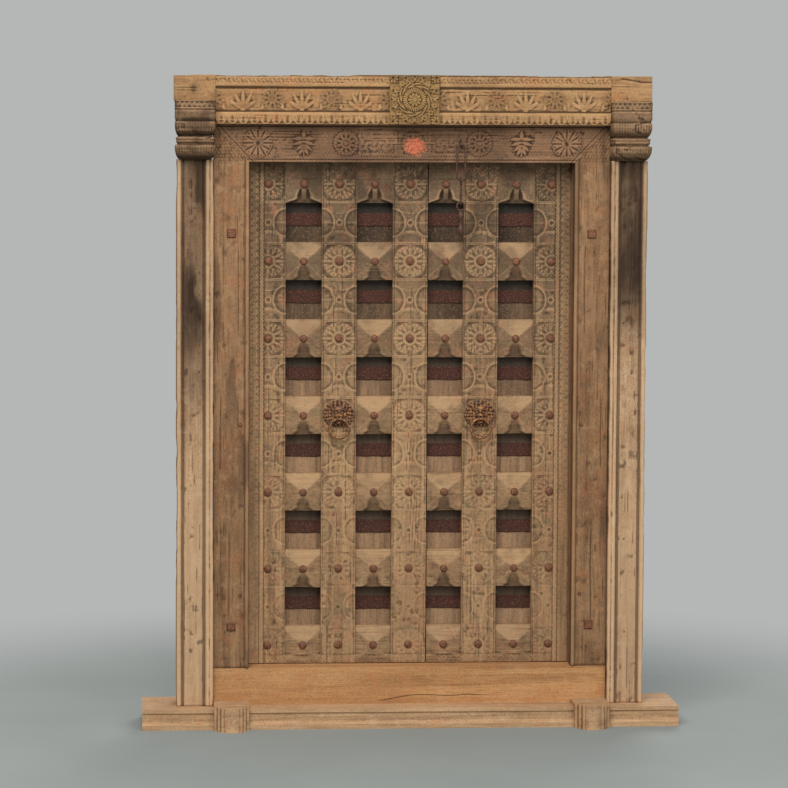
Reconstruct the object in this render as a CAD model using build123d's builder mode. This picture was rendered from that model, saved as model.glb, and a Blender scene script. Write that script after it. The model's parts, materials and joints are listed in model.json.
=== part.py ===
from build123d import *
import os
from math import atan, cos, degrees, hypot, pi, sin, sqrt

os.makedirs("parts", exist_ok=True)

# Carved double-leaf temple door in its timber frame.
# Millimetres. X runs across, the front faces -Y, Z is up from the floor.

# Frame timbers
threshold_length = 1647.0
threshold_height = 62.0
threshold_proud = 55.0
threshold_lip = 9.0
threshold_lip_height = 15.0
threshold_fillet_height = 11.0
sill_height = 113.0
sill_edge = 4.0
opening_width = 996.0
opening_height = 1552.0
jamb_width = 108.0
jamb_thickness = 70.0
jamb_bead_width = 11.0
jamb_bead_proud = 3.0
head_height = 115.0
pilaster_width = 114.0
pilaster_proud = 28.0
pilaster_field_depth = 9.0
outer_bead_radius = 7.5
inner_bead_radius = 6.5
inner_bead_pitch = 12.0

# Blocks in front of the threshold
block_width = 107.0
block_height = 74.0
block_proud = 55.0
block_panel_width = 46.0
block_bow = 9.0
block_reeds = 3
block_step = 13.0

# Lintel, medallion and capitals
lintel_height = 149.0
lintel_proud = 34.0
lintel_overhang = 7.0
lintel_end_height = 79.0
lintel_crown_height = 34.0
lintel_crown_proud = 8.0
lintel_valance_height = 36.0
lintel_valance_proud = 5.0
lintel_pendants = 36
lintel_motif_pitch = 178.0
lintel_motif_radius = 31.0
lintel_motif_relief = 6.0
medallion_size = 150.0
medallion_thickness = 14.0
medallion_relief = 5.0
capital_height = 178.0
capital_overhang = 4.0
capital_proud = 55.0
capital_rib_depth = 3.0
capital_dentil_depth = 5.0
capital_ribs = 7
capital_dentils = 6
inner_beads = 2

# Carving on the head
head_relief = 5.0
head_rosette_radius = 43.0
head_tree_width = 66.0
head_tree_height = 81.0
head_flower_radius = 32.0
head_panel_width = 112.0
head_panel_height = 88.0
head_panel_edge = 11.0

# Leaves: a lattice of half-lapped stiles and rails on boards
leaf_gap = 1.0
leaf_floor_gap = 2.0
leaf_meeting_gap = 3.0
leaf_head_lap = 15.0
ledge_margin = 10.0
lattice_thickness = 38.0
board_thickness = 22.0
rail_rows = 7
hanging_shoulder = 56.0
left_boards = 4
right_boards = 3
rail_chamfer_depth = 10.0
rail_chamfer_height = 15.0
niche_width = 64.0
niche_neck_width = 37.0
niche_height = 38.0
niche_depth = 27.0
boss_edge = 13.0
boss_relief = 3.0
boss_crown_size = 40.0
rosette_petals = 8
rosette_relief = 4.0
stile_motif_relief = 3.0
vine_width = 31.0
vine_relief = 3.0
braid_width = 15.0
braid_relief = 5.0
pintle_radius = 16.0
pintle_length = 40.0
pintle_clearance = 0.3

# Iron and brass
strap_height = 40.0
strap_thickness = 3.0
strap_lift = 9.0
nail_radius = 12.5
nail_height = 7.0
nail_taper = 32.0
bolt_size = 28.0
bolt_height = 6.0
frame_nail_radius = 7.0
mask_radius = 49.0
mask_plate = 7.0
mask_lobes = 12
mask_face_radius = 33.0
mask_face_height = 7.0
mask_brow_radius = 9.0
mask_brow_height = 5.0
muzzle_width = 18.0
muzzle_height = 34.0
muzzle_proud = 32.0
mouth_drop = 9.0
mouth_depth = 22.0
mouth_radius = 7.4
ring_radius = 29.5
ring_bar_radius = 5.0

# Chain that hangs from the head
chain_bar_radius = 3.0
chain_play = 0.6
end_play = 1.1
chain_stand_off = 16.0
chain_panel_gap = 6.07
staple_leg_pitch = 17.0
staple_bar_radius = 2.5
hasp_length = 114.0
hasp_width = 32.0
link_length = 88.0
link_eye_radius = 12.0
link_shank_radius = 4.5
end_ring_radius = 15.0
pendant_radius = 11.0
pendant_lobes = 2
pendant_length = 80.0
overrun = 1.0

# Shares that outlines follow
petal_waist_share = 0.72
lobe_waist_share = 0.86
capital_tier_shares = (0.25, 0.138, 0.259, 0.353)
capital_flare_shares = (0.1, 0.55, 0.45, 0.8)
capital_bowl_shares = ((0, 0), (0.6, 0.14), (0.92, 0.5), (1, 1))
rib_fill_share = 0.62
dentil_height_share = 0.42
dentil_fill_share = 0.6
petal_shoulder_share = 0.55
petal_fill_share = 0.86
palmette_shares = ((0.3, -1.0), (0.95, -0.2), (0.6, 0.05), (0.72, 0.6), (0.3, 0.5))
tree_shares = ((0.1, -0.5), (0.12, -0.22), (0.5, -0.1), (0.28, 0.05), (0.44, 0.24), (0.16, 0.34))
motif_shares = ((0.5, -0.5), (0.34, -0.12), (0.5, 0.06), (0.42, 0.5))
head_place_shares = (0.95, 0.665, 0.41, 0.215)
niche_swell_share = 0.3
stile_width_share = 0.107028
cell_width_share = 0.11245
rail_height_share = 0.0755155
recess_height_share = 0.0777062
rosette_radius_share = 0.45966
stile_motif_width_share = 0.788
stile_motif_height_share = 0.96186
bolt_height_shares = (0.083, 0.86)
frame_nail_height_shares = (0.145, 0.483)
frame_nail_place_share = 0.24
heart_share = 0.45
mask_chin_share = 0.7
pendant_neck_share = 0.35

# Facets of small round work
ring_facets = 18
bar_facets = 8
eye_facets = 10
niche_facets = 4
bead_facets = 12
half_turn_facets = 8

# Places that follow from the sizes
leaf_thickness = lattice_thickness + board_thickness
front_reach = pilaster_proud + threshold_proud + block_proud
back_reach = jamb_thickness + leaf_gap + leaf_thickness + ledge_margin
y_jamb = (front_reach - back_reach) / 2
y_pilaster = y_jamb - pilaster_proud
y_threshold = y_pilaster - threshold_proud
y_block = y_threshold - block_proud
y_lintel = y_jamb - lintel_proud
y_frame_back = y_jamb + jamb_thickness
y_leaf = y_frame_back + leaf_gap
y_lap = y_leaf + lattice_thickness / 2
y_lattice_back = y_leaf + lattice_thickness
y_leaf_back = y_leaf + leaf_thickness
y_back = y_leaf_back + ledge_margin
x_opening = opening_width / 2
x_jamb = x_opening + jamb_width
rosette_x, tree_x, flower_x, panel_x = [share * x_opening for share in head_place_shares]
chain_place = panel_x + head_panel_width / 2 - head_panel_edge - chain_panel_gap
x_pilaster = x_jamb + pilaster_width
x_capital = x_jamb - capital_overhang
x_lintel = x_pilaster + lintel_overhang
z_sill = threshold_height + sill_height
z_head = z_sill + opening_height
z_lintel = z_head + head_height
z_top = z_lintel + lintel_height
z_lintel_end = z_top - lintel_end_height
z_capital = z_lintel_end - capital_height
heel_radius = leaf_thickness / 2
x_pivot = x_opening + heel_radius
y_pivot = y_leaf + heel_radius
z_leaf = z_sill + leaf_floor_gap
z_leaf_top = z_head + leaf_head_lap
z_pivot_board = z_leaf_top + leaf_floor_gap
stile_width = opening_width * stile_width_share
cell_width = opening_width * cell_width_share
rail_height = opening_height * rail_height_share
recess_height = opening_height * recess_height_share
rosette_radius = stile_width * rosette_radius_share
stile_motif_width = stile_width * stile_motif_width_share
stile_motif_height = recess_height * stile_motif_height_share
column_pitch = (stile_width + cell_width) / 2
row_pitch = rail_height + recess_height
x_post = stile_width / 2
x_mid = 2 * column_pitch
x_hanging = x_mid + stile_width / 2 + cell_width
x_nail_outer = 4 * column_pitch
x_shoulder = x_hanging + hanging_shoulder
row_heights = [z_sill + rail_height / 2 + k * row_pitch for k in range(rail_rows)]
recess_heights = [z + row_pitch / 2 for z in row_heights[:-1]]
mask_row = rail_rows // 2
sides = {"left": -1, "right": 1}


def front(y):
    """The plane at depth y that faces the front, with X across and Z up."""
    return Plane.XZ.offset(-y)


def slab(x, y, z, mode=Mode.ADD):
    """A block between two places on each axis."""
    with Locations(Location((sum(x) / 2, sum(y) / 2, sum(z) / 2))):
        Box(abs(x[1] - x[0]), abs(y[1] - y[0]), abs(z[1] - z[0]), mode=mode)


def star(radius, petals, waist_share):
    """A petalled outline with its tips on the radius."""
    reach = [radius, radius * waist_share] * petals
    turn = pi / petals
    return [(r * sin(k * turn), r * cos(k * turn)) for k, r in enumerate(reach)]


def stadium(straight, radius, facets):
    """An upright oval outline: two faceted half turns with straight sides between them."""
    upper = [k * pi / facets for k in range(facets + 1)]
    points = [(radius * cos(a), straight / 2 + radius * sin(a)) for a in upper]
    return points + [(-x, -z) for x, z in points]


def mirrored(shares, width, height):
    """An upright outline, the same left and right, from the shares of its right side."""
    right = [(u * width, v * height) for u, v in shares]
    return right + [(-x, z) for x, z in reversed(right)]


def petal(width, height):
    """A pointed lotus petal on its base line."""
    half = width * petal_fill_share / 2
    shoulder = height * petal_shoulder_share
    return [(-half, 0), (half, 0), (half, shoulder), (0, height), (-half, shoulder)]


def carve(y, places, outline, relief):
    """Raise one outline at several places on a face that looks to the front."""
    with BuildSketch(front(y)) as motif:
        with Locations(*places):
            Polygon(*outline, align=None)
    extrude(motif.sketch, amount=relief)


def round_bar(piece, axis, radius):
    """Take the corners off a flat link, front and back, so that its bar has eight sides."""
    layers = piece.edges().group_by(axis)
    chamfer(layers[0] + layers[-1], length=radius * (2 - sqrt(2)))


def save(piece, name):
    """Label a finished piece and write it under its own name."""
    piece.part.label = name
    export_step(piece.part, f"parts/{name}.step")


# Threshold: moulded front, extruded along X
with BuildPart() as threshold:
    lip_back = y_threshold + threshold_lip
    fillet_foot = threshold_height - threshold_fillet_height
    with BuildSketch(Plane.YZ):
        with BuildLine():
            Polyline(
                (y_threshold, 0),
                (y_threshold, threshold_lip_height),
                (lip_back, threshold_lip_height + threshold_lip),
                (lip_back, fillet_foot - threshold_lip / 2),
                (y_threshold + threshold_lip / 2, fillet_foot),
                (y_threshold + threshold_lip / 2, threshold_height),
                (y_back, threshold_height),
                (y_back, 0),
                close=True,
            )
        make_face()
    extrude(amount=threshold_length / 2, both=True)
save(threshold, "threshold")

# Bow-fronted blocks: a convex panel between reeds that step back, and a cap over the threshold
for side, sign in sides.items():
    x_block = sign * (x_opening + jamb_width / 2)
    with BuildPart() as threshold_block:
        panel = block_panel_width / 2
        reed_pitch = (block_width / 2 - panel) / block_reeds
        with BuildSketch():
            with BuildLine():
                Line((x_block - panel, y_threshold), (x_block + panel, y_threshold))
                Line((x_block + panel, y_threshold), (x_block + panel, y_block + block_bow))
                ThreePointArc(
                    (x_block + panel, y_block + block_bow),
                    (x_block, y_block),
                    (x_block - panel, y_block + block_bow),
                )
                Line((x_block - panel, y_block + block_bow), (x_block - panel, y_threshold))
            make_face()
            for k in range(block_reeds):
                reach = panel + (k + 0.5) * reed_pitch
                y_reed = y_block + (k + 1) * block_step
                with Locations((x_block - reach, y_reed), (x_block + reach, y_reed)):
                    RegularPolygon(reed_pitch / 2, bar_facets)
                with Locations((x_block, (y_reed + y_threshold) / 2)):
                    Rectangle(2 * reach + reed_pitch, y_threshold - y_reed)
        extrude(amount=block_height)
        slab(
            (x_block - block_width / 2, x_block + block_width / 2),
            (y_threshold, y_jamb),
            (threshold_height, block_height),
        )
    save(threshold_block, f"threshold_block_{side}")

# Sill: one timber under the leaves, with the lower pivot sockets
with BuildPart() as sill:
    slab((-x_jamb, x_jamb), (y_jamb, y_back), (threshold_height, z_sill))
    lip = sill.edges().filter_by(Axis.X).group_by(Axis.Z)[-1].sort_by(Axis.Y)[-1]
    chamfer(lip, length=sill_edge)
    with Locations((-x_pivot, y_pivot, z_sill), (x_pivot, y_pivot, z_sill)):
        Hole(pintle_radius + pintle_clearance, pintle_length - leaf_floor_gap + pintle_clearance)
save(sill, "sill")

# Pivot board behind the head, with the upper pivot sockets
with BuildPart() as pivot_board:
    slab((-x_jamb, x_jamb), (y_frame_back, y_back), (z_pivot_board, z_lintel))
    with Locations((-x_pivot, y_pivot, z_pivot_board), (x_pivot, y_pivot, z_pivot_board)):
        Cylinder(
            pintle_radius + pintle_clearance,
            pintle_length - leaf_floor_gap + pintle_clearance,
            align=(Align.CENTER, Align.CENTER, Align.MIN),
            mode=Mode.SUBTRACT,
        )
save(pivot_board, "pivot_board")

# Jambs: uprights with a bead along the opening and a mitred top
for side, sign in sides.items():
    with BuildPart() as jamb:
        with BuildSketch(front(y_frame_back)):
            Polygon(
                (sign * x_opening, z_sill),
                (sign * x_jamb, z_sill),
                (sign * x_jamb, z_lintel),
                (sign * x_opening, z_head),
                align=None,
            )
        extrude(amount=jamb_thickness)
        bead_inner = sign * x_opening
        slab(
            (bead_inner, bead_inner + sign * jamb_bead_width),
            (y_jamb - jamb_bead_proud, y_jamb),
            (z_sill, z_head),
        )
    save(jamb, f"jamb_{side}")

# Head: mitred cross timber with its row of motifs
with BuildPart() as head:
    with BuildSketch(front(y_frame_back)):
        Polygon(
            (-x_opening, z_head),
            (x_opening, z_head),
            (x_jamb, z_lintel),
            (-x_jamb, z_lintel),
            align=None,
        )
    extrude(amount=jamb_thickness)
    z_row = (z_head + z_lintel) / 2
    rosette = star(head_rosette_radius, rosette_petals, petal_waist_share)
    tree = mirrored(tree_shares, head_tree_width, head_tree_height)
    flower = star(head_flower_radius, rosette_petals, petal_waist_share)
    tree.insert(len(tree_shares), (0, head_tree_height / 2))
    carve(y_jamb, [(-rosette_x, z_row), (rosette_x, z_row)], rosette, head_relief)
    carve(y_jamb, [(-tree_x, z_row), (tree_x, z_row)], tree, head_relief)
    carve(y_jamb, [(-flower_x, z_row), (0, z_row), (flower_x, z_row)], flower, head_relief)
    with BuildSketch(front(y_jamb)):
        with Locations((-panel_x, z_row), (panel_x, z_row)):
            Rectangle(head_panel_width, head_panel_height)
            Rectangle(
                head_panel_width - 2 * head_panel_edge,
                head_panel_height - 2 * head_panel_edge,
                mode=Mode.SUBTRACT,
            )
    extrude(amount=head_relief)
save(head, "head")

# Pilasters: beads on both edges of a sunk field
for side, sign in sides.items():
    y_field = y_pilaster + pilaster_field_depth
    outer_x = sign * (x_pilaster - outer_bead_radius)
    inner_x = [sign * (x_jamb + inner_bead_radius + k * inner_bead_pitch) for k in range(inner_beads)]
    with BuildPart() as pilaster:
        with BuildSketch(Plane.XY.offset(threshold_height)):
            with Locations((sign * (x_jamb + x_pilaster) / 2, (y_field + y_frame_back) / 2)):
                Rectangle(pilaster_width, y_frame_back - y_field)
            with Locations((outer_x, y_pilaster + outer_bead_radius)):
                RegularPolygon(outer_bead_radius, bead_facets)
            with Locations(*[(x, y_pilaster + inner_bead_radius) for x in inner_x]):
                RegularPolygon(inner_bead_radius, bead_facets)
        extrude(amount=z_capital - threshold_height)
    save(pilaster, f"pilaster_{side}")

def bowl(foot, height, foot_reach, top_reach, swell_shares):
    """The side view of a tier of a capital, swelling from its foot to its top."""
    spread = top_reach - foot_reach
    swell = [(y_jamb - foot_reach - spread * out, foot + height * up) for out, up in swell_shares]
    return [(y_jamb, foot + height), (y_jamb, foot)] + swell


# Capitals: two ribbed bowls, a fillet between them and a dentilled abacus
for side, sign in sides.items():
    x_centre = sign * (x_jamb + x_pilaster) / 2
    full_width = pilaster_width + 2 * capital_overhang
    tier_heights = [capital_height * share for share in capital_tier_shares]
    tier_foot = z_capital
    with BuildPart() as capital:
        slab(
            (sign * x_jamb, sign * x_pilaster),
            (y_jamb, y_frame_back),
            (z_capital, z_lintel_end),
        )
        for tier, tier_height in enumerate(tier_heights):
            flared = tier in (0, 2)
            foot_share = capital_flare_shares[tier]
            top_share = 1 if flared else foot_share
            swell_shares = capital_bowl_shares if flared else (capital_bowl_shares[0], capital_bowl_shares[-1])
            foot_reach = pilaster_proud + capital_proud * foot_share
            top_reach = pilaster_proud + capital_proud * top_share
            tier_width = pilaster_width + 2 * capital_overhang * top_share
            sunk = capital_rib_depth if flared else 0
            with BuildSketch(Plane.YZ.offset(x_centre)):
                Polygon(
                    *bowl(tier_foot, tier_height, foot_reach - sunk, top_reach - sunk, swell_shares),
                    align=None,
                )
            extrude(amount=tier_width / 2, both=True)
            if flared:
                pitch = tier_width / capital_ribs
                first = x_centre - pitch * (capital_ribs - 1) / 2
                for k in range(capital_ribs):
                    with BuildSketch(Plane.YZ.offset(first + k * pitch)):
                        Polygon(
                            *bowl(tier_foot, tier_height, foot_reach, top_reach, swell_shares),
                            align=None,
                        )
                    extrude(amount=pitch * rib_fill_share / 2, both=True)
            tier_foot += tier_height
        abacus = tier_heights[-1]
        dentil_height = abacus * dentil_height_share
        dentil_pitch = full_width / capital_dentils
        first = x_centre - dentil_pitch * (capital_dentils - 1) / 2
        y_abacus = y_pilaster - capital_proud * capital_flare_shares[-1]
        with BuildSketch(front(y_abacus)):
            for k in range(capital_dentils):
                with Locations((first + k * dentil_pitch, z_lintel_end - dentil_height / 2)):
                    Rectangle(dentil_pitch * dentil_fill_share, dentil_height)
        extrude(amount=capital_dentil_depth)
    save(capital, f"capital_{side}")

# Lintel: crown band, frieze of rosettes and palmettes, and a valance of pendants
with BuildPart() as lintel:
    slab((-x_lintel, x_lintel), (y_lintel, y_frame_back), (z_lintel_end, z_top))
    slab((-x_capital, x_capital), (y_lintel, y_frame_back), (z_lintel, z_lintel_end))
    slab(
        (-x_capital, x_capital),
        (y_lintel - lintel_crown_proud, y_lintel),
        (z_top - lintel_crown_height, z_top),
    )
    z_frieze = (z_lintel + lintel_valance_height + z_top - lintel_crown_height) / 2
    first = medallion_size / 2
    rosettes = [first + k * lintel_motif_pitch for k in range(1, 3)]
    palmettes = [first + (k + 0.5) * lintel_motif_pitch for k in range(3)]
    rosette = star(lintel_motif_radius, rosette_petals, petal_waist_share)
    palmette = mirrored(palmette_shares, lintel_motif_radius, lintel_motif_radius)
    palmette.insert(len(palmette_shares), (0, lintel_motif_radius))
    carve(y_lintel, [(s * x, z_frieze) for s in (-1, 1) for x in rosettes], rosette, lintel_motif_relief)
    carve(y_lintel, [(s * x, z_frieze) for s in (-1, 1) for x in palmettes], palmette, lintel_motif_relief)
    pendant_pitch = 2 * x_capital / lintel_pendants
    valance_foot = z_lintel + lintel_valance_height / 2
    valance_top = z_lintel + lintel_valance_height
    edge = [(x_capital, valance_top), (-x_capital, valance_top)]
    for k in range(lintel_pendants):
        x = -x_capital + k * pendant_pitch
        edge += [(x, valance_foot), (x + pendant_pitch / 2, z_lintel)]
    edge.append((x_capital, valance_foot))
    with BuildSketch(front(y_lintel)):
        Polygon(*edge, align=None)
    extrude(amount=lintel_valance_proud)
save(lintel, "lintel")

# Medallion: square block with a disc, a ring of petals and an outer lotus ring
with BuildPart() as lintel_medallion:
    y_face = y_lintel - lintel_crown_proud
    z_centre = (z_lintel + z_top) / 2
    half = medallion_size / 2
    y_plate = y_face - medallion_thickness
    slab((-half, half), (y_plate, y_face), (z_lintel, z_top))
    reach = min(half, lintel_height / 2)
    outer = star(reach, 2 * rosette_petals, lobe_waist_share)
    inner = star(reach * heart_share, 2 * rosette_petals, petal_waist_share)
    carve(y_plate, [(0, z_centre)], outer, medallion_relief)
    carve(y_plate - medallion_relief, [(0, z_centre)], inner, medallion_relief)
save(lintel_medallion, "lintel_medallion")

# Forged heads, made lying down and then set on the faces that they hold
with BuildPart() as bolt_head:
    with BuildSketch():
        Rectangle(bolt_size, bolt_size)
    extrude(amount=bolt_height, taper=nail_taper)

with BuildPart() as small_head:
    with BuildSketch():
        RegularPolygon(frame_nail_radius, ring_facets // 3)
    extrude(amount=frame_nail_radius / 2, taper=nail_taper)

with BuildPart() as nail_head:
    with BuildSketch():
        RegularPolygon(nail_radius, bar_facets)
    extrude(amount=nail_height, taper=nail_taper)


def facing_front(x, y, z):
    """A place on a front face, with the head's own up turned to the front."""
    return Location((x, y, z), (90, 0, 0))


bolt_x = x_opening + jamb_width / 2
bolt_heights = [z_sill + opening_height * share for share in bolt_height_shares]
with BuildPart() as frame_bolts:
    with Locations(*[facing_front(s * bolt_x, y_jamb, z) for s in sides.values() for z in bolt_heights]):
        add(bolt_head.part)
save(frame_bolts, "frame_bolts")

nail_x = x_opening + jamb_width * frame_nail_place_share
nail_heights = [z_sill + opening_height * share for share in frame_nail_height_shares]
with BuildPart() as frame_nails:
    with Locations(*[facing_front(s * nail_x, y_jamb, z) for s in sides.values() for z in nail_heights]):
        add(small_head.part)
save(frame_nails, "frame_nails")


def rail_range(row):
    """The heights that a rail fills; the end rails run on to the ends of the leaf."""
    z = row_heights[row]
    foot = z_leaf if row == 0 else z - rail_height / 2
    top = z_leaf_top if row == rail_rows - 1 else z + rail_height / 2
    return foot, top


def lap_notches(x):
    """Cut the back of a stile where the rails and the straps pass behind it."""
    for row in range(rail_rows):
        slab(x, (y_lap, y_lattice_back), rail_range(row), mode=Mode.SUBTRACT)
    for z in recess_heights:
        foot = z + strap_lift - strap_height / 2
        heights = (foot, foot + strap_height)
        slab(x, (y_lattice_back - strap_thickness, y_lattice_back), heights, mode=Mode.SUBTRACT)


def stile_motifs(x):
    """Raise the small pilaster motif at each recess on a stile's face."""
    motif = mirrored(motif_shares, stile_motif_width, stile_motif_height)
    carve(y_leaf, [(x, z) for z in recess_heights], motif, stile_motif_relief)


def stile_rosettes(x, rows):
    """Raise a rosette round the nail of each row on a stile's face; the top border hides the last one's upper half."""
    outline = star(rosette_radius, rosette_petals, petal_waist_share)
    lower_half = [(u, v) for u, v in outline if v < overrun]
    carve(y_leaf, [(x, row_heights[row]) for row in rows if row < rail_rows - 1], outline, rosette_relief)
    carve(y_leaf, [(x, row_heights[-1])], lower_half, rosette_relief)


# Stiles: the hanging stiles carry the heel and its round pivots
for side, sign in sides.items():
    with BuildPart() as hanging_stile:
        slab((sign * x_hanging, sign * x_pivot), (y_leaf, y_lattice_back), (z_leaf, z_leaf_top))
        slab((sign * x_shoulder, sign * x_pivot), (y_lattice_back, y_leaf_back), (z_leaf, z_leaf_top))
        with Locations((sign * x_pivot, y_pivot, (z_leaf + z_leaf_top) / 2)):
            Cylinder(heel_radius, z_leaf_top - z_leaf)
            Cylinder(pintle_radius, z_leaf_top - z_leaf + 2 * pintle_length)
        lap_notches((sign * x_hanging, sign * x_shoulder))
        outline = star(rosette_radius, rosette_petals, petal_waist_share)
        braid_inner = x_nail_outer + nail_radius
        with BuildSketch(front(y_leaf)):
            with Locations(*[(sign * x_nail_outer, z) for z in row_heights[:-1]]):
                Polygon(*outline, align=None)
            with Locations((sign * x_nail_outer, row_heights[-1])):
                Polygon(*[(u, v) for u, v in outline if v < overrun], align=None)
            with Locations((sign * (braid_inner + rosette_radius), (z_leaf + z_leaf_top) / 2)):
                Rectangle(2 * rosette_radius, z_leaf_top - z_leaf, mode=Mode.SUBTRACT)
        extrude(amount=rosette_relief)
        visible = (z_sill + leaf_floor_gap, z_head)
        braid_outer = braid_inner + braid_width
        slab((sign * braid_inner, sign * braid_outer), (y_leaf - braid_relief, y_leaf), visible)
        vine_outer = min(braid_outer + vine_width, x_opening - leaf_meeting_gap)
        slab((sign * braid_outer, sign * vine_outer), (y_leaf - vine_relief, y_leaf), visible)
    save(hanging_stile, f"{side}_hanging_stile")

    with BuildPart() as mid_stile:
        stile_x = sign * x_mid
        edges = (stile_x - stile_width / 2, stile_x + stile_width / 2)
        slab(edges, (y_leaf, y_lattice_back), (z_leaf, z_leaf_top))
        lap_notches(edges)
        stile_rosettes(stile_x, [row for row in range(rail_rows) if row != mask_row])
        stile_motifs(stile_x)
    save(mid_stile, f"{side}_mid_stile")

# Centre post: the left leaf's meeting stile
with BuildPart() as centre_post:
    slab((-x_post, x_post), (y_leaf, y_lattice_back), (z_leaf, z_leaf_top))
    lap_notches((-x_post, x_post))
    stile_rosettes(0, range(rail_rows))
    stile_motifs(0)
save(centre_post, "centre_post")


def niche(x, foot):
    """Cut the bell-shaped niche into the lower edge of a rail block."""
    neck = niche_neck_width / 2
    swell = niche_height * niche_swell_share
    crown = [k * pi / niche_facets for k in range(niche_facets + 1)]
    outline = [(x + neck * cos(a), foot + niche_height - neck + neck * sin(a)) for a in crown]
    outline += [
        (x - neck, foot + swell),
        (x - niche_width / 2, foot),
        (x - niche_width / 2, foot - overrun),
        (x + niche_width / 2, foot - overrun),
        (x + niche_width / 2, foot),
        (x + neck, foot + swell),
    ]
    with BuildSketch(front(y_leaf - boss_relief - overrun)) as bell:
        Polygon(*outline, align=None)
    extrude(bell.sketch, amount=-niche_depth - boss_relief - overrun, mode=Mode.SUBTRACT)


# Rails: full length behind the stiles, with a carved block in each cell
for side, sign in sides.items():
    meeting = -x_post if side == "left" else x_post + leaf_meeting_gap
    inner_cell = (x_post if side == "left" else meeting, x_mid - stile_width / 2)
    outer_cell = (x_mid + stile_width / 2, x_hanging)
    for row, z in enumerate(row_heights):
        foot, top = rail_range(row)
        with BuildPart() as rail:
            slab((sign * meeting, sign * x_shoulder), (y_lap, y_lattice_back), (foot, top))
            for near, far in (inner_cell, outer_cell):
                slab((sign * near, sign * far), (y_leaf, y_lap), (foot, top))
                if row < rail_rows - 1:
                    brow = rail.edges().filter_by(Axis.X).group_by(Axis.Z)[-1].group_by(Axis.Y)[0]
                    chamfer(brow, length=rail_chamfer_depth, length2=rail_chamfer_height)
            for near, far in (inner_cell, outer_cell):
                middle = sign * (near + far) / 2
                boss_width = far - near - 2 * boss_edge
                boss_height = rail_height - 2 * boss_edge - rail_chamfer_height
                with Locations(Location((middle, y_leaf - boss_relief / 2, z), (0, 0, 180))):
                    Wedge(
                        boss_width,
                        boss_relief,
                        boss_height,
                        (boss_width - boss_crown_size) / 2,
                        (boss_height - boss_crown_size) / 2,
                        (boss_width + boss_crown_size) / 2,
                        (boss_height + boss_crown_size) / 2,
                    )
                if row > 0:
                    niche(middle, foot)
        save(rail, f"{side}_rail_{row + 1}")

# Boards behind the lattice, and the iron straps that show in the recesses
for side, sign in sides.items():
    count = left_boards if side == "left" else right_boards
    meeting = -x_post if side == "left" else x_post + leaf_meeting_gap
    board_width = (x_shoulder - meeting) / count
    for k in range(count):
        near = meeting + k * board_width
        with BuildPart() as board:
            slab(
                (sign * near, sign * (near + board_width)),
                (y_lattice_back, y_leaf_back),
                (z_leaf, z_leaf_top),
            )
        save(board, f"{side}_board_{k + 1}")
    with BuildPart() as straps:
        for z in recess_heights:
            foot = z + strap_lift - strap_height / 2
            slab(
                (sign * meeting, sign * x_shoulder),
                (y_lattice_back - strap_thickness, y_lattice_back),
                (foot, foot + strap_height),
            )
    save(straps, f"{side}_straps")

# Dome-headed nails, one at each crossing and in each block
for side, sign in sides.items():
    places = []
    for row, z in enumerate(row_heights):
        for column in (1, 3):
            places.append(facing_front(sign * column * column_pitch, y_leaf - boss_relief, z))
        stile_columns = [2, 4] if row != mask_row else [4]
        if side == "left":
            stile_columns.append(0)
        for column in stile_columns:
            places.append(facing_front(sign * column * column_pitch, y_leaf - rosette_relief, z))
    with BuildPart() as nails:
        with Locations(*places):
            add(nail_head.part)
    save(nails, f"{side}_nails")

# Ring pulls: a lion mask with a bored muzzle, and a ring through its mouth
z_mask = row_heights[mask_row]
z_mouth = z_mask - mouth_drop
y_mouth = y_leaf - mouth_depth
for side, sign in sides.items():
    x_mask = sign * x_mid
    with BuildPart() as mask:
        mane = star(mask_radius, mask_lobes, lobe_waist_share)
        mane = [(u, v if v > 0 else v * mask_chin_share) for u, v in mane]
        carve(y_leaf, [(x_mask, z_mask)], mane, mask_plate)
        with BuildSketch(front(y_leaf - mask_plate)):
            with Locations((x_mask, z_mask)):
                RegularPolygon(mask_face_radius, eye_facets)
        extrude(amount=mask_face_height)
        chamfer(mask.edges().group_by(Axis.Y)[0], length=mask_face_height - overrun)
        with BuildSketch(front(y_leaf)):
            with Locations((x_mask, z_mouth)):
                Rectangle(muzzle_width, muzzle_height)
        extrude(amount=muzzle_proud)
        with BuildSketch(front(y_leaf - mask_plate)):
            for k in (-1, 1):
                with Locations((x_mask + k * mask_radius / 2, z_mask + mask_radius / 2)):
                    RegularPolygon(mask_brow_radius, bar_facets)
        extrude(amount=mask_brow_height)
        with BuildSketch(Plane.YZ.offset(x_mask)):
            with Locations((y_mouth, z_mouth)):
                RegularPolygon(mouth_radius, eye_facets, major_radius=False)
        extrude(amount=mask_radius, both=True, mode=Mode.SUBTRACT)
    save(mask, f"{side}_mask")
    with BuildPart() as ring:
        with BuildSketch(front(y_mouth)) as hoop:
            with Locations((x_mask, z_mouth - ring_radius)):
                RegularPolygon(ring_radius, ring_facets, rotation=90)
        course = hoop.sketch.face().outer_wire()
        with BuildSketch(Plane(course @ 0, z_dir=course % 0)) as bar_section:
            RegularPolygon(ring_bar_radius, bar_facets, major_radius=False)
        sweep(bar_section.sketch, path=course, transition=Transition.RIGHT)
    save(ring, f"{side}_ring")

# Chain: staple, long oval hasp, narrow link, and an end ring with its pendant
y_chain = y_jamb - chain_stand_off
z_staple = (z_head + z_lintel) / 2
bar = chain_bar_radius
leg = staple_bar_radius
legs = (z_staple - staple_leg_pitch / 2, z_staple + staple_leg_pitch / 2)
with BuildPart() as chain_staple:
    crown = y_chain - bar - chain_play
    leg_x = (chain_place - leg, chain_place + leg)
    for z in legs:
        slab(leg_x, (crown, y_jamb), (z - leg, z + leg))
    slab(leg_x, (crown - 2 * leg, crown), (legs[0] - leg, legs[1] + leg))
save(chain_staple, "chain_staple")

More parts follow.
